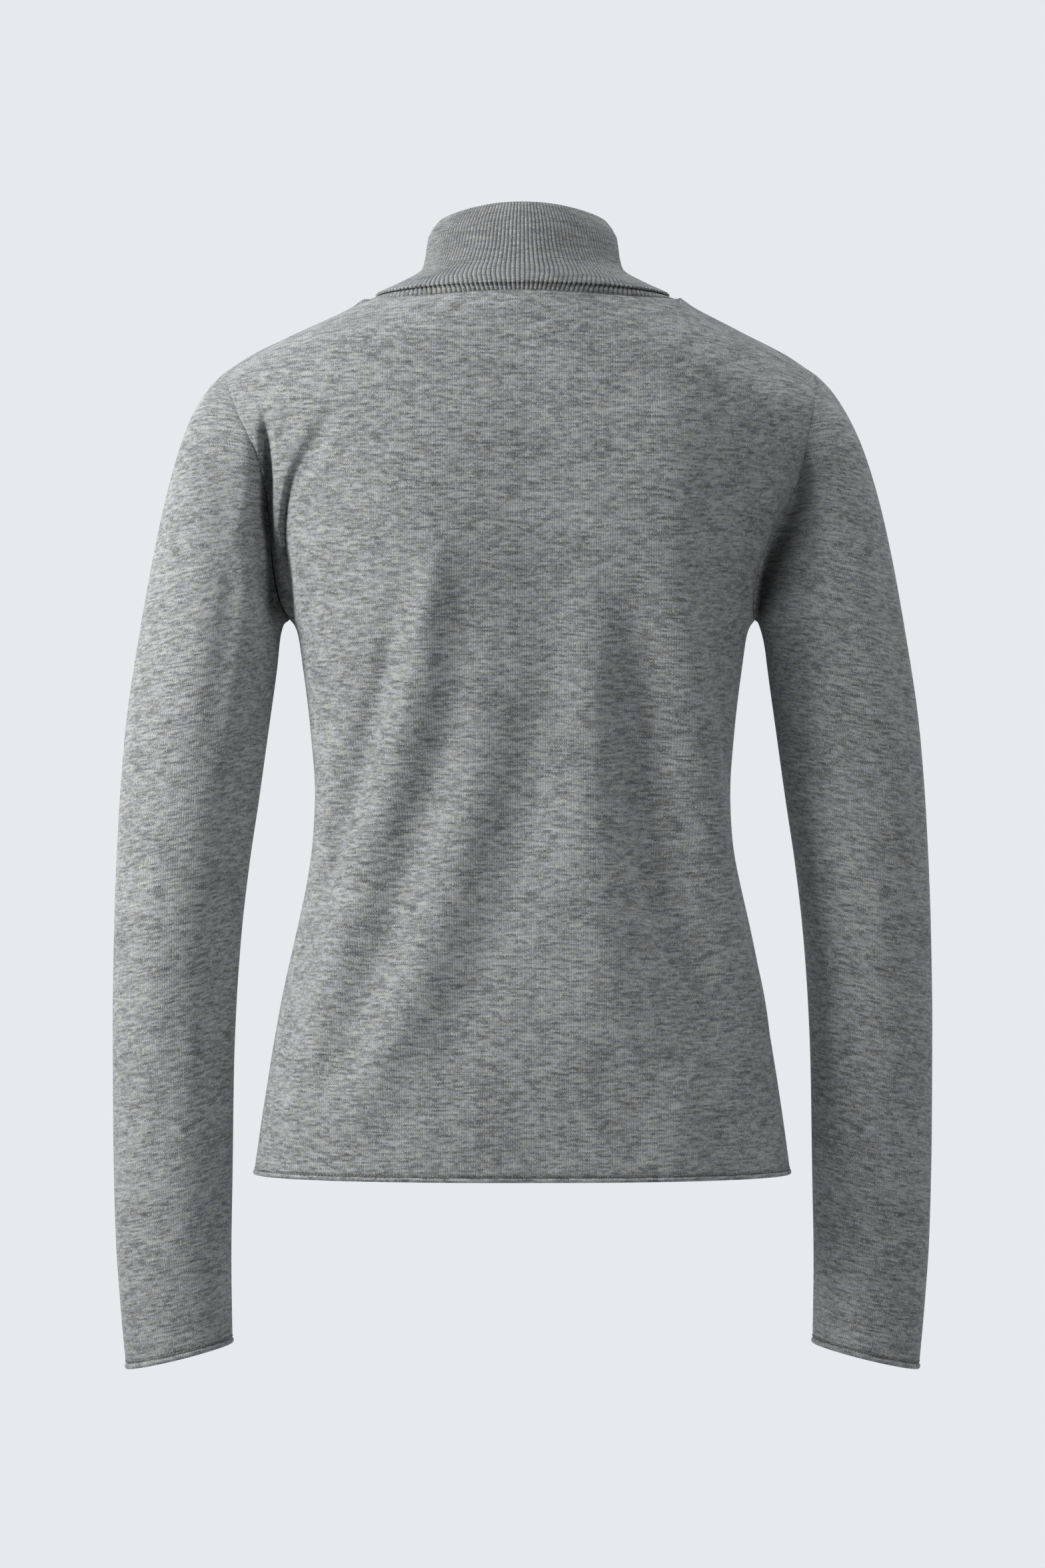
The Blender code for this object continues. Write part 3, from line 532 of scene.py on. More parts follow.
def armhole_sink(points):
    """How deep the valley and the troughs beside the armholes lie at points of the back or a sleeve."""
    x, y, down = points[..., 0], points[..., 1], -points[..., 2]
    sink = -crease_relief(ARMHOLE_TROUGHS, x, down)
    for valley in ARMHOLE_VALLEYS:
        bank = read(valley, down, "bank")
        from_body = ease((x - read(valley, down, "body_x")) / bank)
        from_sleeve = ease((read(valley, down, "sleeve_x") - x) / bank)
        sink = np.maximum(sink, read(valley, down, "depth") * from_body * from_sleeve)
    sink -= crease_relief(ARMHOLE_RIDGES, x, down)
    return sink * ease((y - TROUGH_FRONT) / TROUGH_FADE)


# ---- Shells ------------------------------------------------------
SEAM_DIP = 0.15          # how far the cloth turns in at a seam
SHOULDER_DIP = 0.05      # the same at the shoulder and neck seams
SEAM_DIP_REACH = 1.3
RIM_ANGLE = 55           # degrees past which an edge of a shell looks sharp
INNER_FOLLOW = 0.6       # how much a shell's inner face follows the creases
CREASE_FADE = 16         # creases die out this far from a side seam
SLEEVE_CREASE_FADE = 0.35    # share of a sleeve's crease over which each end dies out


def arc_lengths(points, axis):
    """Running length along each row (axis 1) or each column (axis 0) of a grid."""
    steps = np.linalg.norm(np.diff(points, axis=axis), axis=-1)
    zero = np.zeros_like(np.take(steps, [0], axis=axis))
    return np.concatenate([zero, np.cumsum(steps, axis=axis)], axis=axis)


def quads(grid):
    """What a grid holds at the four corners of each of its cells."""
    return np.stack([grid[:-1, :-1], grid[:-1, 1:], grid[1:, 1:], grid[1:, :-1]], axis=2)


def cloth_mesh(name, points, faces, places):
    """A smooth mesh of quads, whose UV map holds the place of each corner in the flat cloth."""
    mesh = bpy.data.meshes.new(name)
    mesh.vertices.add(len(points))
    mesh.vertices.foreach_set("co", (points * MM).astype(np.float32).ravel())
    mesh.loops.add(faces.size)
    mesh.loops.foreach_set("vertex_index", faces.astype(np.int32).ravel())
    mesh.polygons.add(len(faces))
    mesh.polygons.foreach_set("loop_start", np.arange(0, faces.size, 4, dtype=np.int32))
    mesh.polygons.foreach_set("use_smooth", np.ones(len(faces), dtype=bool))
    mesh.uv_layers.new(name="cloth").data.foreach_set("uv", (places * MM).astype(np.float32).ravel())
    mesh.update()
    mesh.validate()
    return mesh


def shell_mesh(name, outer, inner, cloth, is_tube=False):
    """A closed wall between two grids of points.

    cloth holds the place of each point in the flat cloth, across and along the knit. A tube's cloth has
    one more column than its points, because its first line of points is also its last.
    """
    rows, columns = outer.shape[:2]
    index = np.arange(rows * columns).reshape(rows, columns)
    place = np.arange(rows * cloth.shape[1]).reshape(rows, cloth.shape[1])
    if is_tube:
        index = np.hstack([index, index[:, :1]])
    behind = rows * columns
    faces = [quads(index).reshape(-1, 4)]
    places = [quads(place).reshape(-1, 4)]
    faces.append(faces[0][:, ::-1] + behind)
    places.append(places[0][:, ::-1])
    edges = [(index[0, ::-1], place[0, ::-1]), (index[-1], place[-1])]
    if not is_tube:
        edges += [(index[:, 0], place[:, 0]), (index[::-1, -1], place[::-1, -1])]
    for edge, spot in edges:
        faces.append(np.stack([edge[:-1], edge[1:], edge[1:] + behind, edge[:-1] + behind], axis=-1))
        places.append(np.stack([spot[:-1], spot[1:], spot[1:], spot[:-1]], axis=-1))
    points = np.concatenate([outer.reshape(-1, 3), inner.reshape(-1, 3)])
    mesh = cloth_mesh(name, points, np.concatenate(faces), cloth.reshape(-1, 2)[np.concatenate(places)])
    mesh.set_sharp_from_angle(angle=math.radians(RIM_ANGLE))
    return mesh


def steady_normals(points, is_tube=False):
    """Normals of a grid, whose two outermost lines take theirs from the third to keep corners smooth."""
    normals = grid_normals(points, is_tube)
    normals[:2] = normals[2:3]
    normals[-2:] = normals[-3:-2]
    if not is_tube:
        normals[:, :2] = normals[:, 2:3]
        normals[:, -2:] = normals[:, -3:-2]
    return normals


def inner_points(outer, normals, wall, is_tube=False):
    """The inner face of a shell, on normals halfway between the form's own and the creased cloth's."""
    creased = steady_normals(outer, is_tube)
    creased *= np.sign((creased * normals).sum(axis=-1, keepdims=True))
    return outer - unit(normals + creased * INNER_FOLLOW) * wall


def panel_shell(face, creases, settings):
    """Outer and inner points of a panel and their places in the flat cloth."""
    form, cloth = panel_form(face)
    x, down = form[..., 0], -form[..., 2]
    normals = steady_normals(form) * face * -1
    across = arc_lengths(form, 1)
    side_distance = np.minimum(across, across[:, -1:] - across)
    rows_up = arc_lengths(form, 0)
    top_distance = rows_up[-1:] - rows_up

    relief = crease_relief(creases, x, down) * ease(side_distance / CREASE_FADE)
    relief -= SEAM_DIP * np.exp(-(side_distance / SEAM_DIP_REACH) ** 2)
    relief -= SHOULDER_DIP * np.exp(-(top_distance / SEAM_DIP_REACH) ** 2)
    relief[:len(ROLL["out"])] += ROLL["out"][::-1, None]
    outer = form + normals * relief[..., None]
    if face > 0:
        outer[..., 1] -= armhole_sink(form)
    return outer, inner_points(outer, normals, settings.wall / MM), cloth


def sleeve_shell(side, back, front, settings):
    """Outer and inner points of a sleeve and their places in the flat cloth."""
    form, angles = sleeve_form(side, back, front)
    down = -form[..., 2]
    normals = -steady_normals(form, is_tube=True)
    relief = np.zeros(form.shape[:2])
    for angle1, down1, angle2, down2, height, before, after in zip(*SLEEVE_CREASES[side].values()):
        share = (down - down1) / (down2 - down1)
        away = angles - (angle1 + (angle2 - angle1) * np.clip(share, 0, 1))
        ends = ease(share / SLEEVE_CREASE_FADE) * ease((1 - share) / SLEEVE_CREASE_FADE)
        relief += height * ends * bell(away, after, before)
    from_top = arc_lengths(form, 0)
    relief -= SEAM_DIP * np.exp(-(from_top / SEAM_DIP_REACH) ** 2)
    relief[-len(ROLL["out"]):] += ROLL["out"][:, None]
    outer = form + normals * relief[..., None]
    outer[..., 1] -= armhole_sink(form * (side, 1, 1))
    inner = inner_points(outer, normals, settings.wall / MM, is_tube=True)
    closed = np.concatenate([form, form[:, :1]], axis=1)
    around = arc_lengths(closed, 1)
    outside = len(angles) - UPPER_ROWS
    upwards = arc_lengths(closed[::-1], 0)[::-1]
    cloth = np.stack([around - around[:, outside:outside + 1], upwards], axis=-1)
    return outer * (side, 1, 1), inner * (side, 1, 1), cloth


# ---- Collar ------------------------------------------------------
POINTS_PER_RIB = 8
COLLAR_ROWS = 13         # rows up each layer
FOLD_CALM = 0.7          # how much of their height the ribs lose over the fold,
FOLD_REACH = 3.0         # within about this many rows of it
SEAM_GAP = 0.25          # the stand starts this far from the neck seam
TURNED_EDGE = ((0.3, 0.5), (0.75, 0.45))     # rows round its edge: shares of the wall, and how far out
FOLD_INSIDE = (60, 120)  # rows over the fold's inner face, in degrees from the stand's side,
FOLD_OUTSIDE = (150, 120, 90, 60, 30)        # and over its outer face


def collar_layers(settings):
    """Rings round the folded collar, and the strength of the ribs on each of them.

    They climb the outside of the stand, turn down inside the fold, round the edge of the turned-down layer,
    climb its outside, pass over the fold and end down the inside of the stand.
    """
    count = settings.rib_count * POINTS_PER_RIB
    turn = 2 * math.pi * np.arange(count) / count
    rows = np.linspace(0, len(COLLAR["back"]) - 1, COLLAR_ROWS)
    knots = np.arange(len(COLLAR["back"]), dtype=float)
    sizes = {name: curve(rows, knots, values)[:, None] for name, values in COLLAR.items()}
    angle = turn + sizes["spread"] * np.sin(2 * turn)
    behind = np.sin(angle) >= 0
    x = sizes["half_width"] * np.cos(angle)
    y = np.where(behind, sizes["back"], sizes["front"]) * np.sin(angle)
    end_z = np.where(behind, sizes["back_z"], sizes["front_z"])
    z = sizes["side_z"] + (end_z - sizes["side_z"]) * np.sin(angle) ** 2
    form = np.stack([x, y, z], axis=-1)
    form[0] = neck_seam(angle[0])

    outward = grid_normals(form, is_tube=True)
    half_gap = sizes["half_gap"][..., None]
    half_wall = settings.rib_wall / MM / 2
    start = int(math.ceil(TURN_EDGE * (COLLAR_ROWS - 1) / (len(COLLAR["back"]) - 1)))
    stand_outer = form - outward * (half_gap - half_wall)
    stand_inner = form - outward * (half_gap + half_wall)
    turned_inner = form + outward * (half_gap - half_wall)
    turned_outer = form + outward * (half_gap + half_wall)
    stand_outer[0] = form[0] + unit(form[1] - form[0]) * SEAM_GAP
    stand_inner[0] = stand_outer[0] - outward[0] * half_wall * 2

    rise = unit(form[-1] - form[-2])
    top_gap = COLLAR["half_gap"][-1]

    def over(radius, degrees):
        lean = math.radians(degrees)
        return form[-1] + (rise * math.sin(lean) - outward[-1] * math.cos(lean)) * radius

    rings = list(stand_outer) + [over(top_gap - half_wall, lean) for lean in FOLD_INSIDE]
    rings += list(turned_inner[:start - 1:-1])
    edge = len(rings)
    edge_out = turned_outer[start] - turned_inner[start]
    edge_down = unit(form[start] - form[start + 1])
    rings += [turned_inner[start] + edge_out * share + edge_down * out for share, out in TURNED_EDGE]
    rings += list(turned_outer[start:])
    fold = len(rings) + len(FOLD_OUTSIDE) // 2
    rings += [over(top_gap + half_wall, lean) for lean in FOLD_OUTSIDE]
    rings += list(stand_inner[::-1])
    strength = np.zeros(len(rings))
    strength[:start + 2] = 1.0
    strength[edge:] = 1.0
    strength *= 1 - FOLD_CALM * np.exp(-((np.arange(len(rings)) - fold) / FOLD_REACH) ** 2)
    strength[-1] = 0.0
    return np.array(rings), strength


def collar_mesh(settings):
    """The collar's plain folded band. Attributes hold each point's rib strength and its place on its rib."""
    rings, strength = collar_layers(settings)
    total, count = rings.shape[:2]
    index = np.arange(total * count).reshape(total, count)
    index = np.vstack([index, index[:1]])
    index = np.hstack([index, index[:, :1]])
    up = arc_lengths(np.concatenate([rings, rings[:1]]), 0).mean(axis=1)
    across = (np.arange(count + 1) / POINTS_PER_RIB + 0.5) * (settings.wale / MM)
    place = np.stack(np.broadcast_arrays(across[None, :], up[:, None]), axis=-1)
    mesh = cloth_mesh("collar_base", rings.reshape(-1, 3), quads(index).reshape(-1, 4), quads(place))
    phase = np.tile(np.arange(count) % POINTS_PER_RIB / POINTS_PER_RIB, total)
    for name, values in (("rib_strength", np.repeat(strength, count)), ("rib_phase", phase)):
        attribute = mesh.attributes.new(name, "FLOAT", "POINT")
        attribute.data.foreach_set("value", values.astype(np.float32))
    return mesh


# ---- Shader groups and materials ---------------------------------
class Tree:
    """A short way to write a node tree: each call adds a node and links what feeds it."""

    def __init__(self, tree):
        self.tree = tree

    def add(self, kind, inputs=None, **settings):
        node = self.tree.nodes.new(kind)
        for name, value in settings.items():
            setattr(node, name, value)
        for key, value in (inputs or {}).items():
            socket = node.inputs[key]
            if isinstance(value, bpy.types.NodeSocket):
                self.tree.links.new(value, socket)
            else:
                socket.default_value = value
        return node

    def math(self, operation, *values):
        return self.add("ShaderNodeMath", dict(enumerate(values)), operation=operation).outputs[0]

    def noise(self, vector, detail=2.0, roughness=0.5):
        inputs = {"Vector": vector, "Scale": 1.0, "Detail": detail, "Roughness": roughness}
        return self.add("ShaderNodeTexNoise", inputs, noise_dimensions="2D").outputs["Fac"]

    def combine(self, x, y):
        return self.add("ShaderNodeCombineXYZ", {"X": x, "Y": y}).outputs[0]

    def remap(self, value, low, high):
        inputs = {"Value": value, "From Min": low, "From Max": high}
        return self.add("ShaderNodeMapRange", inputs, interpolation_type="SMOOTHSTEP").outputs["Result"]

    def mix(self, factor, first, second):
        """Mix two colours, which are a Mix node's sockets 6 and 7."""
        return self.add("ShaderNodeMix", {0: factor, 6: first, 7: second}, data_type="RGBA").outputs[2]


def node_group(kind, name, inputs, outputs):
    """An empty node group with named sockets, given as (name, type) or (name, type, default).

    Returns the group, the Tree that adds its nodes, what it is given and where its results go.
    """
    group = bpy.data.node_groups.new(name, kind)
    for direction, sockets in (("INPUT", inputs), ("OUTPUT", outputs)):
        for label, value_kind, *default in sockets:
            socket = group.interface.new_socket(name=label, in_out=direction,
                                                socket_type="NodeSocket" + value_kind)
            if default:
                socket.default_value = default[0]
    tree = Tree(group)
    return group, tree, tree.add("NodeGroupInput").outputs, tree.add("NodeGroupOutput").inputs


STITCH_SLANT = 0.9       # courses that a stitch's legs rise from the middle of its column to the sides
LEG_CURVE = 2.4          # how fast a leg's height falls beside its crest
COLUMN_CURVE = 1.02      # square of a column's height in its middle


def stitch_group():
    """Plain knit of nested V stitches. Puts out its relief, the mask of its gaps that painted shade darkens,
    and each stitch's course and column.
    """
    group, tree, given, result = node_group(
        "ShaderNodeTree", "knit_stitches",
        [("Cloth", "Vector"), ("Wale", "Float", 0.0015), ("Course", "Float", 0.00117),
         ("Gap Start", "Float", 0.62)],
        [("Height", "Float"), ("Gap", "Float"), ("Course Row", "Float"), ("Wale Column", "Float")])
    place = tree.add("ShaderNodeSeparateXYZ", {"Vector": given["Cloth"]}).outputs
    across = tree.math("DIVIDE", place["X"], given["Wale"])
    off_centre = tree.math("ABSOLUTE", tree.math("SUBTRACT", tree.math("FRACT", across), 0.5))
    edge = tree.math("MULTIPLY", off_centre, 2.0)
    level = tree.math("DIVIDE", place["Y"], given["Course"])
    up = tree.math("ADD", level, tree.math("MULTIPLY", edge, -STITCH_SLANT))
    leg = tree.math("ABSOLUTE", tree.math("SUBTRACT", tree.math("FRACT", up), 0.5))
    round_leg = tree.math("SUBTRACT", 1.0, tree.math("MULTIPLY", tree.math("POWER", leg, 2.0), LEG_CURVE))
    round_column = tree.math("SQRT", tree.math("SUBTRACT", COLUMN_CURVE, tree.math("POWER", edge, 2.0)))
    height = tree.math("MULTIPLY", round_leg, round_column)
    tree.tree.links.new(height, result["Height"])
    tree.tree.links.new(tree.remap(edge, given["Gap Start"], 1.0), result["Gap"])
    tree.tree.links.new(tree.math("FLOOR", up), result["Course Row"])
    tree.tree.links.new(tree.math("FLOOR", across), result["Wale Column"])
    return group


PATCH_FLATNESS = 0.10    # a patch's height in shares of its width
CLOUD_SCALE = (16.0, 48.0)       # across and along the knit, for each metre
FIBRE_SCALE = (1500.0, 1700.0)
ROW_STEP = 7.37          # keeps the noise of one course apart from the next one's
YARN_RANGE = 0.34        # from all dark to all light, either way
TINT_RANGE = (0.34, 0.66)
TINT_PLACE = (1.3, 31.7)     # stretches and moves the patches' noise to make the tints'

# The bump's depth, how dark the painted shade in the gaps between columns is and where the gaps begin, and
# the yarn's contrast
KNITS = {"plain_knit_cloth": (0.3 * MM, 0.24, 0.62, 1.0),
         "rib_knit_cloth": (0.3 * MM, 0.75, 0.5, 0.5)}
# Colour of the painted shade in the gaps between stitch columns and in the grooves between the collar's ribs
GAP_SHADE_COLOUR = (0.02, 0.022, 0.024, 1.0)
FIBRE_RELIEF = 0.8       # the fibres' share of the bump


def melange_group():
    """Heather yarn: light and dark fibres in streaks along each course, with soft patches and warm tints."""
    group, tree, given, result = node_group(
        "ShaderNodeTree", "melange_yarn",
        [("Cloth", "Vector"), ("Course Row", "Float", 0.0), ("Wale Column", "Float", 0.0),
         ("Light", "Color", (0.4, 0.42, 0.43, 1)), ("Dark", "Color", (0.1, 0.11, 0.12, 1)),
         ("Warm Tint", "Color", (1, 0.95, 0.85, 1)), ("Cool Tint", "Color", (0.9, 0.95, 1, 1)),
         ("Streak Stitches", "Float", 6.5), ("Patch Size", "Float", 0.015), ("Contrast", "Float", 1.0)],
        [("Color", "Color"), ("Fibre", "Float")])
    place = tree.add("ShaderNodeSeparateXYZ", {"Vector": given["Cloth"]}).outputs
    along = tree.math("DIVIDE", given["Wale Column"], given["Streak Stitches"])
    row = tree.math("MULTIPLY", given["Course Row"], ROW_STEP)
    streak = tree.noise(tree.combine(along, row), detail=3.0, roughness=0.72)
    patch_x = tree.math("DIVIDE", place["X"], given["Patch Size"])
    patch_y = tree.math("DIVIDE", place["Y"], tree.math("MULTIPLY", given["Patch Size"], PATCH_FLATNESS))
    patch = tree.noise(tree.combine(patch_x, patch_y), detail=4.0, roughness=0.66)
    stitch = tree.combine(given["Wale Column"], given["Course Row"])
    speck = tree.add("ShaderNodeTexWhiteNoise", {"Vector": stitch}, noise_dimensions="2D").outputs["Value"]

    def scaled(scale):
        return tree.combine(*(tree.math("MULTIPLY", place[axis], size) for axis, size in zip("XY", scale)))

    cloud = tree.noise(scaled(CLOUD_SCALE))
    fibre = tree.noise(scaled(FIBRE_SCALE), roughness=0.8)
    total = tree.math("SUBTRACT", fibre, 0.5)
    for layer, weight in ((streak, 1.0), (patch, 0.52), (cloud, 0.18), (speck, 0.12)):
        lifted = tree.math("MULTIPLY", tree.math("SUBTRACT", layer, 0.5), given["Contrast"])
        total = tree.math("ADD", total, tree.math("MULTIPLY", lifted, weight))
    share = tree.remap(total, -YARN_RANGE, YARN_RANGE)
    grey = tree.mix(share, given["Dark"], given["Light"])
    tint_place = tree.combine(tree.math("MULTIPLY_ADD", patch_x, *TINT_PLACE), patch_y)
    tint_share = tree.remap(tree.noise(tint_place), *TINT_RANGE)
    tint = tree.mix(tint_share, given["Cool Tint"], given["Warm Tint"])
    tinted = tree.add("ShaderNodeMix", {0: 1.0, 6: grey, 7: tint}, data_type="RGBA", blend_type="MULTIPLY")
    tree.tree.links.new(tinted.outputs[2], result["Color"])
    tree.tree.links.new(fibre, result["Fibre"])
    return group


def knit_material(name, groups, colours, settings):
    """A matte heather knit, with its own row of KNITS and painted shade in the gaps between its stitch
    columns.
    """
    relief, gap_shade, gap_start, contrast = KNITS[name]
    material = bpy.data.materials.new(name)
    material.use_nodes = True
    tree = Tree(material.node_tree)
    shader = material.node_tree.nodes["Principled BSDF"]
    cloth = tree.add("ShaderNodeUVMap", uv_map="cloth").outputs["UV"]
    stitches = tree.add("ShaderNodeGroup", node_tree=groups["stitches"])
    yarn = tree.add("ShaderNodeGroup", node_tree=groups["melange"])
    link = material.node_tree.links.new
    link(cloth, stitches.inputs["Cloth"])
    link(cloth, yarn.inputs["Cloth"])
    stitches.inputs["Wale"].default_value = settings.wale
    stitches.inputs["Course"].default_value = settings.course
    stitches.inputs["Gap Start"].default_value = gap_start
    yarn.inputs["Contrast"].default_value = contrast
    link(stitches.outputs["Course Row"], yarn.inputs["Course Row"])
    link(stitches.outputs["Wale Column"], yarn.inputs["Wale Column"])
    for socket, colour in colours.items():
        yarn.inputs[socket].default_value = (*colour, 1.0)
    # Painted shade: the yarn's colour darkens in the gaps between stitch columns
    shade = tree.math("SUBTRACT", 1.0, tree.math("MULTIPLY", stitches.outputs["Gap"], gap_shade))
    colour = tree.mix(shade, GAP_SHADE_COLOUR, yarn.outputs["Color"])
    link(colour, shader.inputs["Base Color"])
    fibre = tree.math("MULTIPLY", yarn.outputs["Fibre"], FIBRE_RELIEF)
    height = tree.math("ADD", stitches.outputs["Height"], fibre)
    bump = tree.add("ShaderNodeBump", {"Height": height, "Strength": 0.55, "Distance": relief})
    link(bump.outputs["Normal"], shader.inputs["Normal"])
    shader.inputs["Roughness"].default_value = 0.92
    shader.inputs["Specular IOR Level"].default_value = 0.18
    shader.inputs["Sheen Weight"].default_value = 0.22
    shader.inputs["Sheen Roughness"].default_value = 0.55
    shader.inputs["Sheen Tint"].default_value = (0.82, 0.86, 0.9, 1.0)
    return material


def stage_material(colour):
    material = bpy.data.materials.new("pale_floor")
    material.use_nodes = True
    tree = Tree(material.node_tree)
    shader = material.node_tree.nodes["Principled BSDF"]
    place = tree.add("ShaderNodeTexCoord").outputs["Object"]
    mottle = tree.add("ShaderNodeTexNoise", {"Vector": place, "Scale": 3.0, "Detail": 3.0}).outputs["Fac"]
    pale = tuple(channel * 0.985 for channel in colour)
    shade = tree.mix(mottle, (*pale, 1.0), (*colour, 1.0))
    material.node_tree.links.new(shade, shader.inputs["Base Color"])
    shader.inputs["Roughness"].default_value = 0.9
    return material


# ---- Geometry Nodes ----------------------------------------------
RIB_FULLNESS = 0.7       # below 1, a rib's round top is broader than the groove beside it


def geometry_group(name, inputs):
    """An empty Geometry Nodes tree with a Geometry socket at each end and named inputs."""
    geometry = ("Geometry", "Geometry")
    return node_group("GeometryNodeTree", name, [geometry, *inputs], [geometry])


def finish_geometry(tree, geometry, given, result):
    """End a tree by giving its geometry the material that it is given."""
    painted = tree.add("GeometryNodeSetMaterial", {"Geometry": geometry, "Material": given["Material"]})
    tree.tree.links.new(painted.outputs[0], result["Geometry"])


def rib_tree():
    """Raise the collar's ribs from its plain band."""
    sizes = [("Height", "Float"), ("Material", "Material")]
    group, tree, given, result = geometry_group("raise_ribs", sizes)
    strength = tree.add("GeometryNodeInputNamedAttribute", {"Name": "rib_strength"}, data_type="FLOAT")
    phase = tree.add("GeometryNodeInputNamedAttribute", {"Name": "rib_phase"}, data_type="FLOAT")
    wave = tree.math("COSINE", tree.math("MULTIPLY", phase.outputs["Attribute"], 2 * math.pi))
    round_top = tree.math("POWER", tree.math("MULTIPLY_ADD", wave, 0.5, 0.5), RIB_FULLNESS)
    share = tree.math("MULTIPLY", round_top, strength.outputs["Attribute"])
    height = tree.math("MULTIPLY", share, given["Height"])
    normal = tree.add("GeometryNodeInputNormal").outputs[0]
    offset = tree.add("ShaderNodeVectorMath", {0: normal, "Scale": height}, operation="SCALE")
    moved = tree.add("GeometryNodeSetPosition", {"Geometry": given["Geometry"], "Offset": offset.outputs[0]})
    real = tree.add("GeometryNodeRealizeInstances", {"Geometry": moved.outputs[0]}).outputs[0]
    finish_geometry(tree, real, given, result)
    return group


def stitch_tree():
    """Lay small stitches along a line of edges, each leaning the other way from the one before it."""
    sizes = [(label, "Float") for label in ("Spacing", "Length", "Thickness", "Lean")]
    group, tree, given, result = geometry_group("edge_stitches", sizes + [("Material", "Material")])
    line = tree.add("GeometryNodeMeshToCurve", {"Mesh": given["Geometry"]}).outputs[0]
    spots = tree.add("GeometryNodeResampleCurve", {"Curve": line, "Length": given["Spacing"]}, mode="LENGTH")
    outward = tree.add("GeometryNodeInputNamedAttribute", {"Name": "outward"}, data_type="FLOAT_VECTOR")
    axes = {"Primary Axis": outward.outputs["Attribute"],
            "Secondary Axis": tree.add("GeometryNodeInputTangent").outputs[0]}
    upright = tree.add("FunctionNodeAxesToRotation", axes, primary_axis="Z", secondary_axis="X").outputs[0]
    every_other = tree.math("MODULO", tree.add("GeometryNodeInputIndex").outputs[0], 2.0)
    lean = tree.math("MULTIPLY", tree.math("MULTIPLY_ADD", every_other, 2.0, -1.0), given["Lean"])
    angles = tree.add("ShaderNodeCombineXYZ", {"Z": lean}).outputs[0]
    turn = tree.add("FunctionNodeEulerToRotation", {"Euler": angles}).outputs[0]
    turns = {"Rotation": upright, "Rotate By": turn}
    leaning = tree.add("FunctionNodeRotateRotation", turns, rotation_space="LOCAL").outputs[0]
    lengths = {"X": given["Length"], "Y": given["Thickness"], "Z": given["Thickness"]}
    size = tree.add("ShaderNodeCombineXYZ", lengths).outputs[0]
    stitch = tree.add("GeometryNodeMeshIcoSphere", {"Radius": 0.5, "Subdivisions": 1}).outputs[0]
    placing = {"Points": spots.outputs[0], "Instance": stitch, "Rotation": leaning, "Scale": size}
    placed = tree.add("GeometryNodeInstanceOnPoints", placing).outputs[0]
    real = tree.add("GeometryNodeRealizeInstances", {"Geometry": placed}).outputs[0]
    smooth = tree.add("GeometryNodeSetShadeSmooth", {"Geometry": real}).outputs[0]
    position = tree.add("GeometryNodeInputPosition").outputs[0]
    place = tree.add("ShaderNodeSeparateXYZ", {"Vector": position}).outputs
    cloth = {"Geometry": smooth, "Name": "cloth", "Value": tree.combine(place["X"], place["Z"])}
    mapped = tree.add("GeometryNodeStoreNamedAttribute", cloth, data_type="FLOAT2", domain="CORNER")
    finish_geometry(tree, mapped.outputs[0], given, result)
    return group


def apply_tree(piece, group, values):
    """Run a Geometry Nodes tree on a piece, with values by socket name, and keep its result as the mesh."""
    modifier = piece.modifiers.new(group.name, "NODES")
    modifier.node_group = group
    for item in group.interface.items_tree:
        if item.item_type == "SOCKET" and item.in_out == "INPUT" and item.name in values:
            modifier[item.identifier] = values[item.name]
    bpy.context.view_layer.update()
    evaluated = piece.evaluated_get(bpy.context.evaluated_depsgraph_get())
    mesh = bpy.data.meshes.new_from_object(evaluated)
    piece.modifiers.remove(modifier)
    piece.data = mesh
    mesh.name = piece.name
    return piece


# ---- Settings ----------------------------------------------------
class ClothSettings(bpy.types.PropertyGroup):
    """Sizes of the knit."""

    wall: FloatProperty(name="Wall", description="Thickness of the body's and the sleeves' knit",
                        default=1.5 * MM, min=0.5 * MM, max=4 * MM, unit="LENGTH")
    rib_wall: FloatProperty(name="Rib wall", description="Thickness of the collar without its ribs",
                            default=1.2 * MM, min=0.5 * MM, max=4 * MM, unit="LENGTH")
    rib_height: FloatProperty(name="Rib height", description="How far a rib stands out of the collar",
                              default=0.75 * MM, min=0.0, max=2 * MM, unit="LENGTH")
    rib_count: IntProperty(name="Ribs", description="Number of ribs round the collar",
                           default=156, min=20, max=400)
    wale: FloatProperty(name="Wale", description="Width of one column of stitches",
                        default=1.5 * MM, min=0.5 * MM, max=10 * MM, unit="LENGTH")
    course: FloatProperty(name="Course", description="Height of one row of stitches",
                          default=1.17 * MM, min=0.5 * MM, max=10 * MM, unit="LENGTH")
    stitch_spacing: FloatProperty(name="Edge stitch spacing",
                                  description="Step from one edge stitch to the next",
                                  default=1.2 * MM, min=0.4 * MM, max=10 * MM, unit="LENGTH")
    stitch_length: FloatProperty(name="Edge stitch length",
                                 description="Length of one stitch of a rolled edge",
                                 default=2.2 * MM, min=0.4 * MM, max=10 * MM, unit="LENGTH")


class ColourSettings(bpy.types.PropertyGroup):
    """Colours of the yarn and the stage."""

    light: FloatVectorProperty(name="Light fibres", description="Colour of the yarn's light fibres",
                               default=(0.436, 0.452, 0.453), min=0, max=1, subtype="COLOR")
    dark: FloatVectorProperty(name="Dark fibres", description="Colour of the yarn's dark fibres",
                              default=(0.088, 0.092, 0.094), min=0, max=1, subtype="COLOR")
    warm_tint: FloatVectorProperty(name="Warm tint", description="Tint of the yarn's warmer stretches",
                                   default=(0.985, 0.98, 0.915), min=0, max=1, subtype="COLOR")
    cool_tint: FloatVectorProperty(name="Cool tint", description="Tint of the yarn's cooler stretches",
                                   default=(0.94, 0.96, 1.0), min=0, max=1, subtype="COLOR")
    backdrop: FloatVectorProperty(name="Backdrop", description="Colour behind and below the sweater",
                                  default=(0.791, 0.823, 0.847), min=0, max=1, subtype="COLOR")


def cloth_settings():
    return bpy.context.scene.sweater_cloth


def colour_settings():
    return bpy.context.scene.sweater_colours


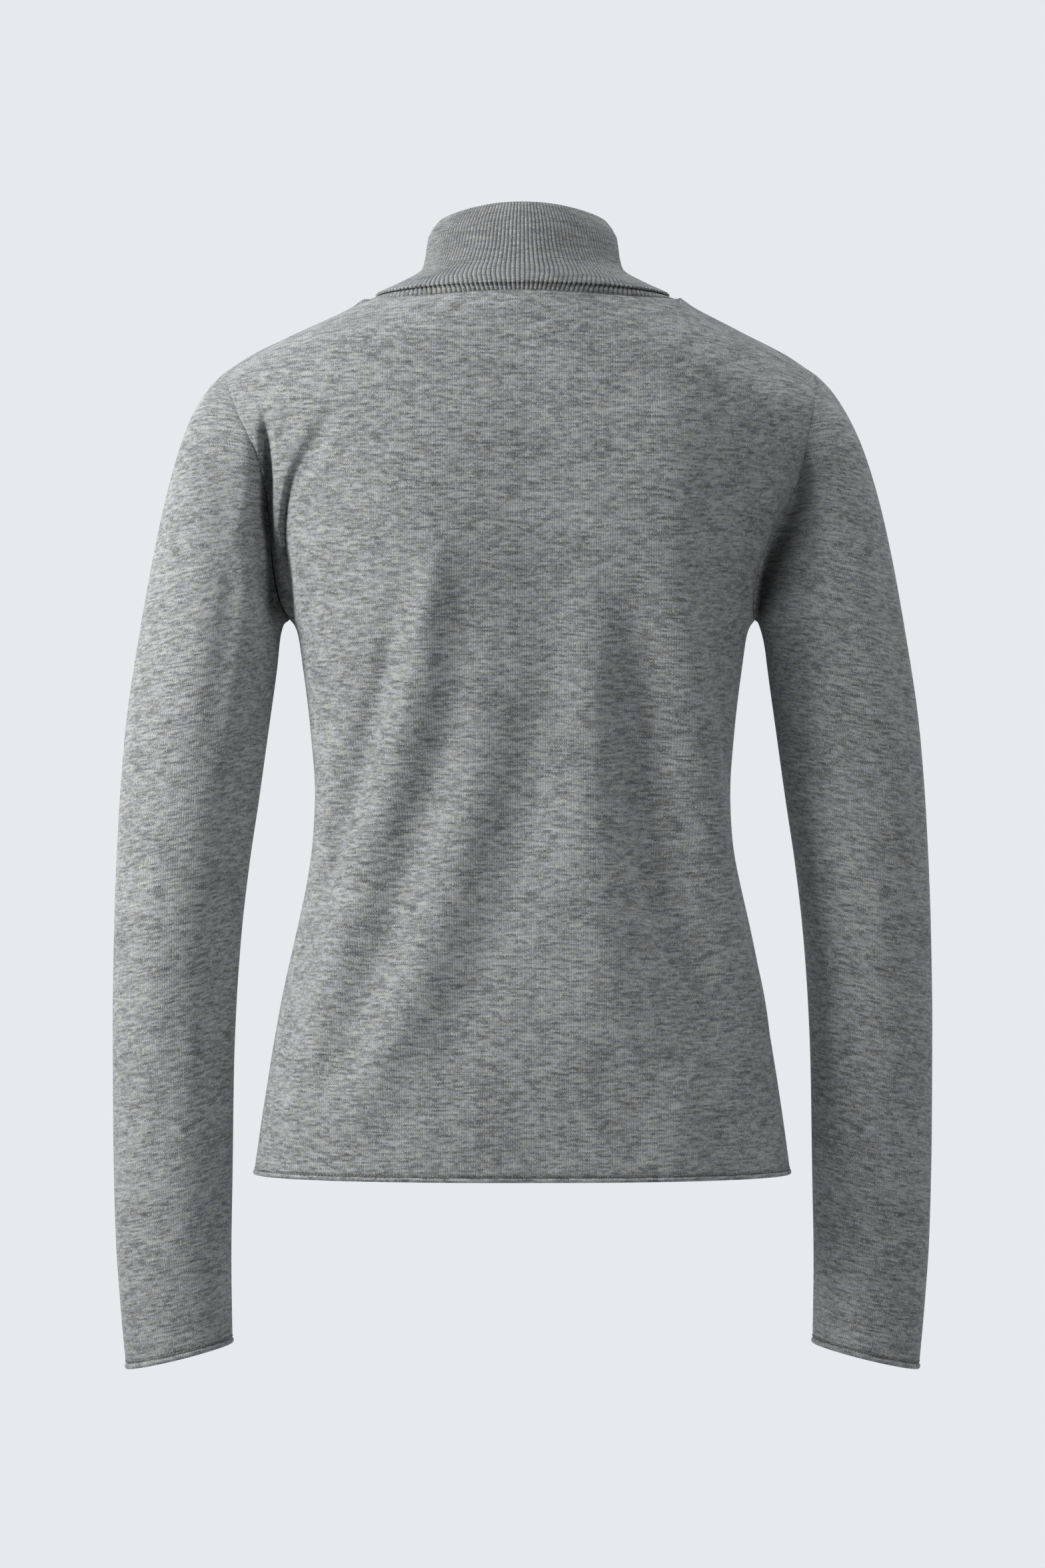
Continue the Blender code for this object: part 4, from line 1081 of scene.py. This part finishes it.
def shared_groups():
    """The shader groups that every knit material uses, built once."""
    if "knit_stitches" not in bpy.data.node_groups:
        stitch_group()
        melange_group()
    groups = bpy.data.node_groups
    return {"stitches": groups["knit_stitches"], "melange": groups["melange_yarn"]}


def knit(name):
    """The knit material of this name, built once."""
    if name in bpy.data.materials:
        return bpy.data.materials[name]
    colours = colour_settings()
    yarn = {"Light": colours.light, "Dark": colours.dark,
            "Warm Tint": colours.warm_tint, "Cool Tint": colours.cool_tint}
    return knit_material(name, shared_groups(), yarn, cloth_settings())


def new_piece(name, mesh, material, nodes):
    """A finished piece of cloth that stands for nodes of the frame."""
    piece = bpy.data.objects.new(name, mesh)
    bpy.context.scene.collection.objects.link(piece)
    if material is not None:
        mesh.materials.append(material)
    if nodes:
        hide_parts(*nodes)
    return piece


def edge_stitches(name, outer, inner, is_ring=False):
    """Stitches that hold a rolled edge, along one line of a shell's points. Returns them as a piece."""
    outward = unit(outer - inner)
    line = outer + outward * STITCH_LIFT
    edges = [(k, k + 1) for k in range(len(line) - 1)]
    if is_ring:
        edges.append((len(line) - 1, 0))
    mesh = bpy.data.meshes.new(name)
    mesh.from_pydata((line * MM).tolist(), edges, [])
    mesh.attributes.new("outward", "FLOAT_VECTOR", "POINT").data.foreach_set("vector", outward.ravel())
    piece = new_piece(name, mesh, None, [])
    if "edge_stitches" not in bpy.data.node_groups:
        stitch_tree()
    settings = cloth_settings()
    apply_tree(piece, bpy.data.node_groups["edge_stitches"],
               {"Spacing": settings.stitch_spacing, "Length": settings.stitch_length,
                "Thickness": settings.stitch_length * STITCH_SLIMNESS, "Lean": math.radians(STITCH_LEAN),
                "Material": knit("plain_knit_cloth")})
    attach(piece, BODY)
    return piece


# ---- Operators ---------------------------------------------------
class SWEATER_OT_back(bpy.types.Operator):
    """Build the back panel"""

    bl_idname = "sweater.back"
    bl_label = "Back"

    def execute(self, context):
        outer, inner, cloth = panel_shell(1, BACK_CREASES, cloth_settings())
        mesh = shell_mesh("back_cloth", outer[::-1], inner[::-1], cloth[::-1])
        piece = new_piece("back_cloth", mesh, knit("plain_knit_cloth"), ["back"])
        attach(piece, BODY)
        stitches = edge_stitches("back_stitches", outer[PANEL_STITCH_ROW], inner[PANEL_STITCH_ROW])
        return {"FINISHED"}


class SWEATER_OT_front(bpy.types.Operator):
    """Build the front panel"""

    bl_idname = "sweater.front"
    bl_label = "Front"

    def execute(self, context):
        outer, inner, cloth = panel_shell(-1, FRONT_CREASES, cloth_settings())
        mesh = shell_mesh("front_cloth", outer, inner, cloth)
        piece = new_piece("front_cloth", mesh, knit("plain_knit_cloth"), ["front"])
        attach(piece, BODY)
        stitches = edge_stitches("front_stitches", outer[PANEL_STITCH_ROW], inner[PANEL_STITCH_ROW])
        return {"FINISHED"}


class SWEATER_OT_sleeves(bpy.types.Operator):
    """Build both sleeves"""

    bl_idname = "sweater.sleeves"
    bl_label = "Sleeves"

    def execute(self, context):
        back, _ = panel_form(1)
        front, _ = panel_form(-1)
        for side, label in ((1, "left"), (-1, "right")):
            outer, inner, cloth = sleeve_shell(side, back, front, cloth_settings())
            cuff = outer[SLEEVE_STITCH_ROW], inner[SLEEVE_STITCH_ROW]
            stitches = edge_stitches(f"sleeve_{label}_stitches", *cuff, is_ring=True)
            if side > 0:
                outer, inner, cloth = outer[::-1], inner[::-1], cloth[::-1]
            mesh = shell_mesh(f"sleeve_{label}_cloth", outer, inner, cloth, is_tube=True)
            piece = new_piece(mesh.name, mesh, knit("plain_knit_cloth"), [f"sleeve_{label}"])
            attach(piece, BODY)
        return {"FINISHED"}


class SWEATER_OT_collar(bpy.types.Operator):
    """Build the folded rib collar"""

    bl_idname = "sweater.collar"
    bl_label = "Collar"

    def execute(self, context):
        settings = cloth_settings()
        piece = new_piece("collar_cloth", collar_mesh(settings), None, ["collar"])
        apply_tree(piece, rib_tree(), {"Height": settings.rib_height, "Material": knit("rib_knit_cloth")})
        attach(piece, BODY)
        return {"FINISHED"}


class SWEATER_OT_stage(bpy.types.Operator):
    """Build the floor, the lights and the camera"""

    bl_idname = "sweater.stage"
    bl_label = "Stage"

    def execute(self, context):
        scene = context.scene
        colours = colour_settings()
        bpy.ops.mesh.primitive_cylinder_add(vertices=96, radius=2.4, depth=0.02, location=(0, 0, -1.31))
        floor = context.object
        floor.name = "floor"
        floor.data.materials.append(stage_material(colours.backdrop))

        world = bpy.data.worlds.new("studio")
        world.use_nodes = True
        tree = Tree(world.node_tree)
        output = world.node_tree.nodes["World Output"]
        seen = tree.add("ShaderNodeBackground", {"Color": (*colours.backdrop, 1.0), "Strength": 1.0})
        fill = tree.add("ShaderNodeBackground", {"Color": (0.95, 0.98, 1.0, 1.0), "Strength": AMBIENT})
        ray = tree.add("ShaderNodeLightPath")
        mixed = tree.add("ShaderNodeMixShader", {0: ray.outputs["Is Camera Ray"], 1: fill.outputs[0],
                                                 2: seen.outputs[0]})
        world.node_tree.links.new(mixed.outputs[0], output.inputs["Surface"])
        scene.world = world

        for name, azimuth, distance, height, size, power, colour in LIGHTS:
            data = bpy.data.lights.new(name, "AREA")
            data.shape = "DISK"
            data.size = size
            data.energy = power
            data.color = colour
            lamp = bpy.data.objects.new(name, data)
            scene.collection.objects.link(lamp)
            turn = math.radians(azimuth)
            offset = Vector((distance * math.sin(turn), distance * math.cos(turn), height))
            lamp.location = Vector((0, 0, LIT_HEIGHT)) + offset
            lamp.rotation_euler = offset.to_track_quat("Z", "Y").to_euler()

        data = bpy.data.cameras.new("camera")
        data.lens = SENSOR * CAMERA_DISTANCE / PICTURE_HEIGHT
        data.sensor_width = SENSOR
        camera = bpy.data.objects.new("camera", data)
        scene.collection.objects.link(camera)
        camera.location = (0.0, CAMERA_DISTANCE, CAMERA_HEIGHT)
        camera.rotation_euler = (math.pi / 2, 0, math.pi)
        scene.camera = camera
        scene.view_settings.view_transform = "Standard"
        return {"FINISHED"}


# Lights round the sweater: name, azimuth, distance, height, size, power and colour. An azimuth of 0 is
# behind the wearer, and 90 is on their left. Distances are level ones from the garment's axis, and heights
# are above its middle
LIT_HEIGHT = -0.3        # the garment's middle
LIGHTS = (("key", 66, 1.15, 0.2, 0.5, 14.8, (1.0, 0.99, 0.98)),
          ("fill", -36, 1.8, 0.3, 1.2, 7.2, (0.99, 0.995, 1.0)),
          ("rim", -104, 1.5, 0.3, 1.0, 3.4, (0.99, 0.995, 1.0)),
          ("top", 10, 0.6, 1.8, 1.4, 25.0, (0.98, 0.99, 1.0)),
          ("front_key", 140, 1.9, 0.6, 0.9, 20.0, (1.0, 0.99, 0.97)),
          ("front_fill", -150, 2.2, 0.4, 1.4, 9.0, (1.0, 0.99, 0.97)))
AMBIENT = 0.045

SENSOR = 36.0            # the camera's, in millimetres
CAMERA_DISTANCE = 3.6
CAMERA_HEIGHT = -0.324
PICTURE_HEIGHT = 1.035   # what the picture's tall side covers at the garment's middle

PIECE_OPERATORS = (SWEATER_OT_back, SWEATER_OT_front, SWEATER_OT_sleeves, SWEATER_OT_collar,
                   SWEATER_OT_stage)


class SWEATER_PT_panel(bpy.types.Panel):
    """Lists the sweater's pieces and settings"""

    bl_idname = "SWEATER_PT_panel"
    bl_label = "Sweater"
    bl_space_type = "VIEW_3D"
    bl_region_type = "UI"
    bl_category = "Sweater"

    def draw(self, context):
        for settings in (context.scene.sweater_cloth, context.scene.sweater_colours):
            for name in settings.__annotations__:
                self.layout.prop(settings, name)
        for operator in PIECE_OPERATORS:
            self.layout.operator(operator.bl_idname)


CLASSES = (ClothSettings, ColourSettings, *PIECE_OPERATORS, SWEATER_PT_panel)


def register():
    for cls in CLASSES:
        bpy.utils.register_class(cls)
    bpy.types.Scene.sweater_cloth = PointerProperty(type=ClothSettings)
    bpy.types.Scene.sweater_colours = PointerProperty(type=ColourSettings)


def unregister():
    del bpy.types.Scene.sweater_colours
    del bpy.types.Scene.sweater_cloth
    for cls in reversed(CLASSES):
        bpy.utils.unregister_class(cls)


def main():
    register()
    bpy.ops.sweater.back()
    bpy.ops.sweater.front()
    bpy.ops.sweater.sleeves()
    bpy.ops.sweater.collar()
    bpy.ops.sweater.stage()


if __name__ == "__main__":
    main()
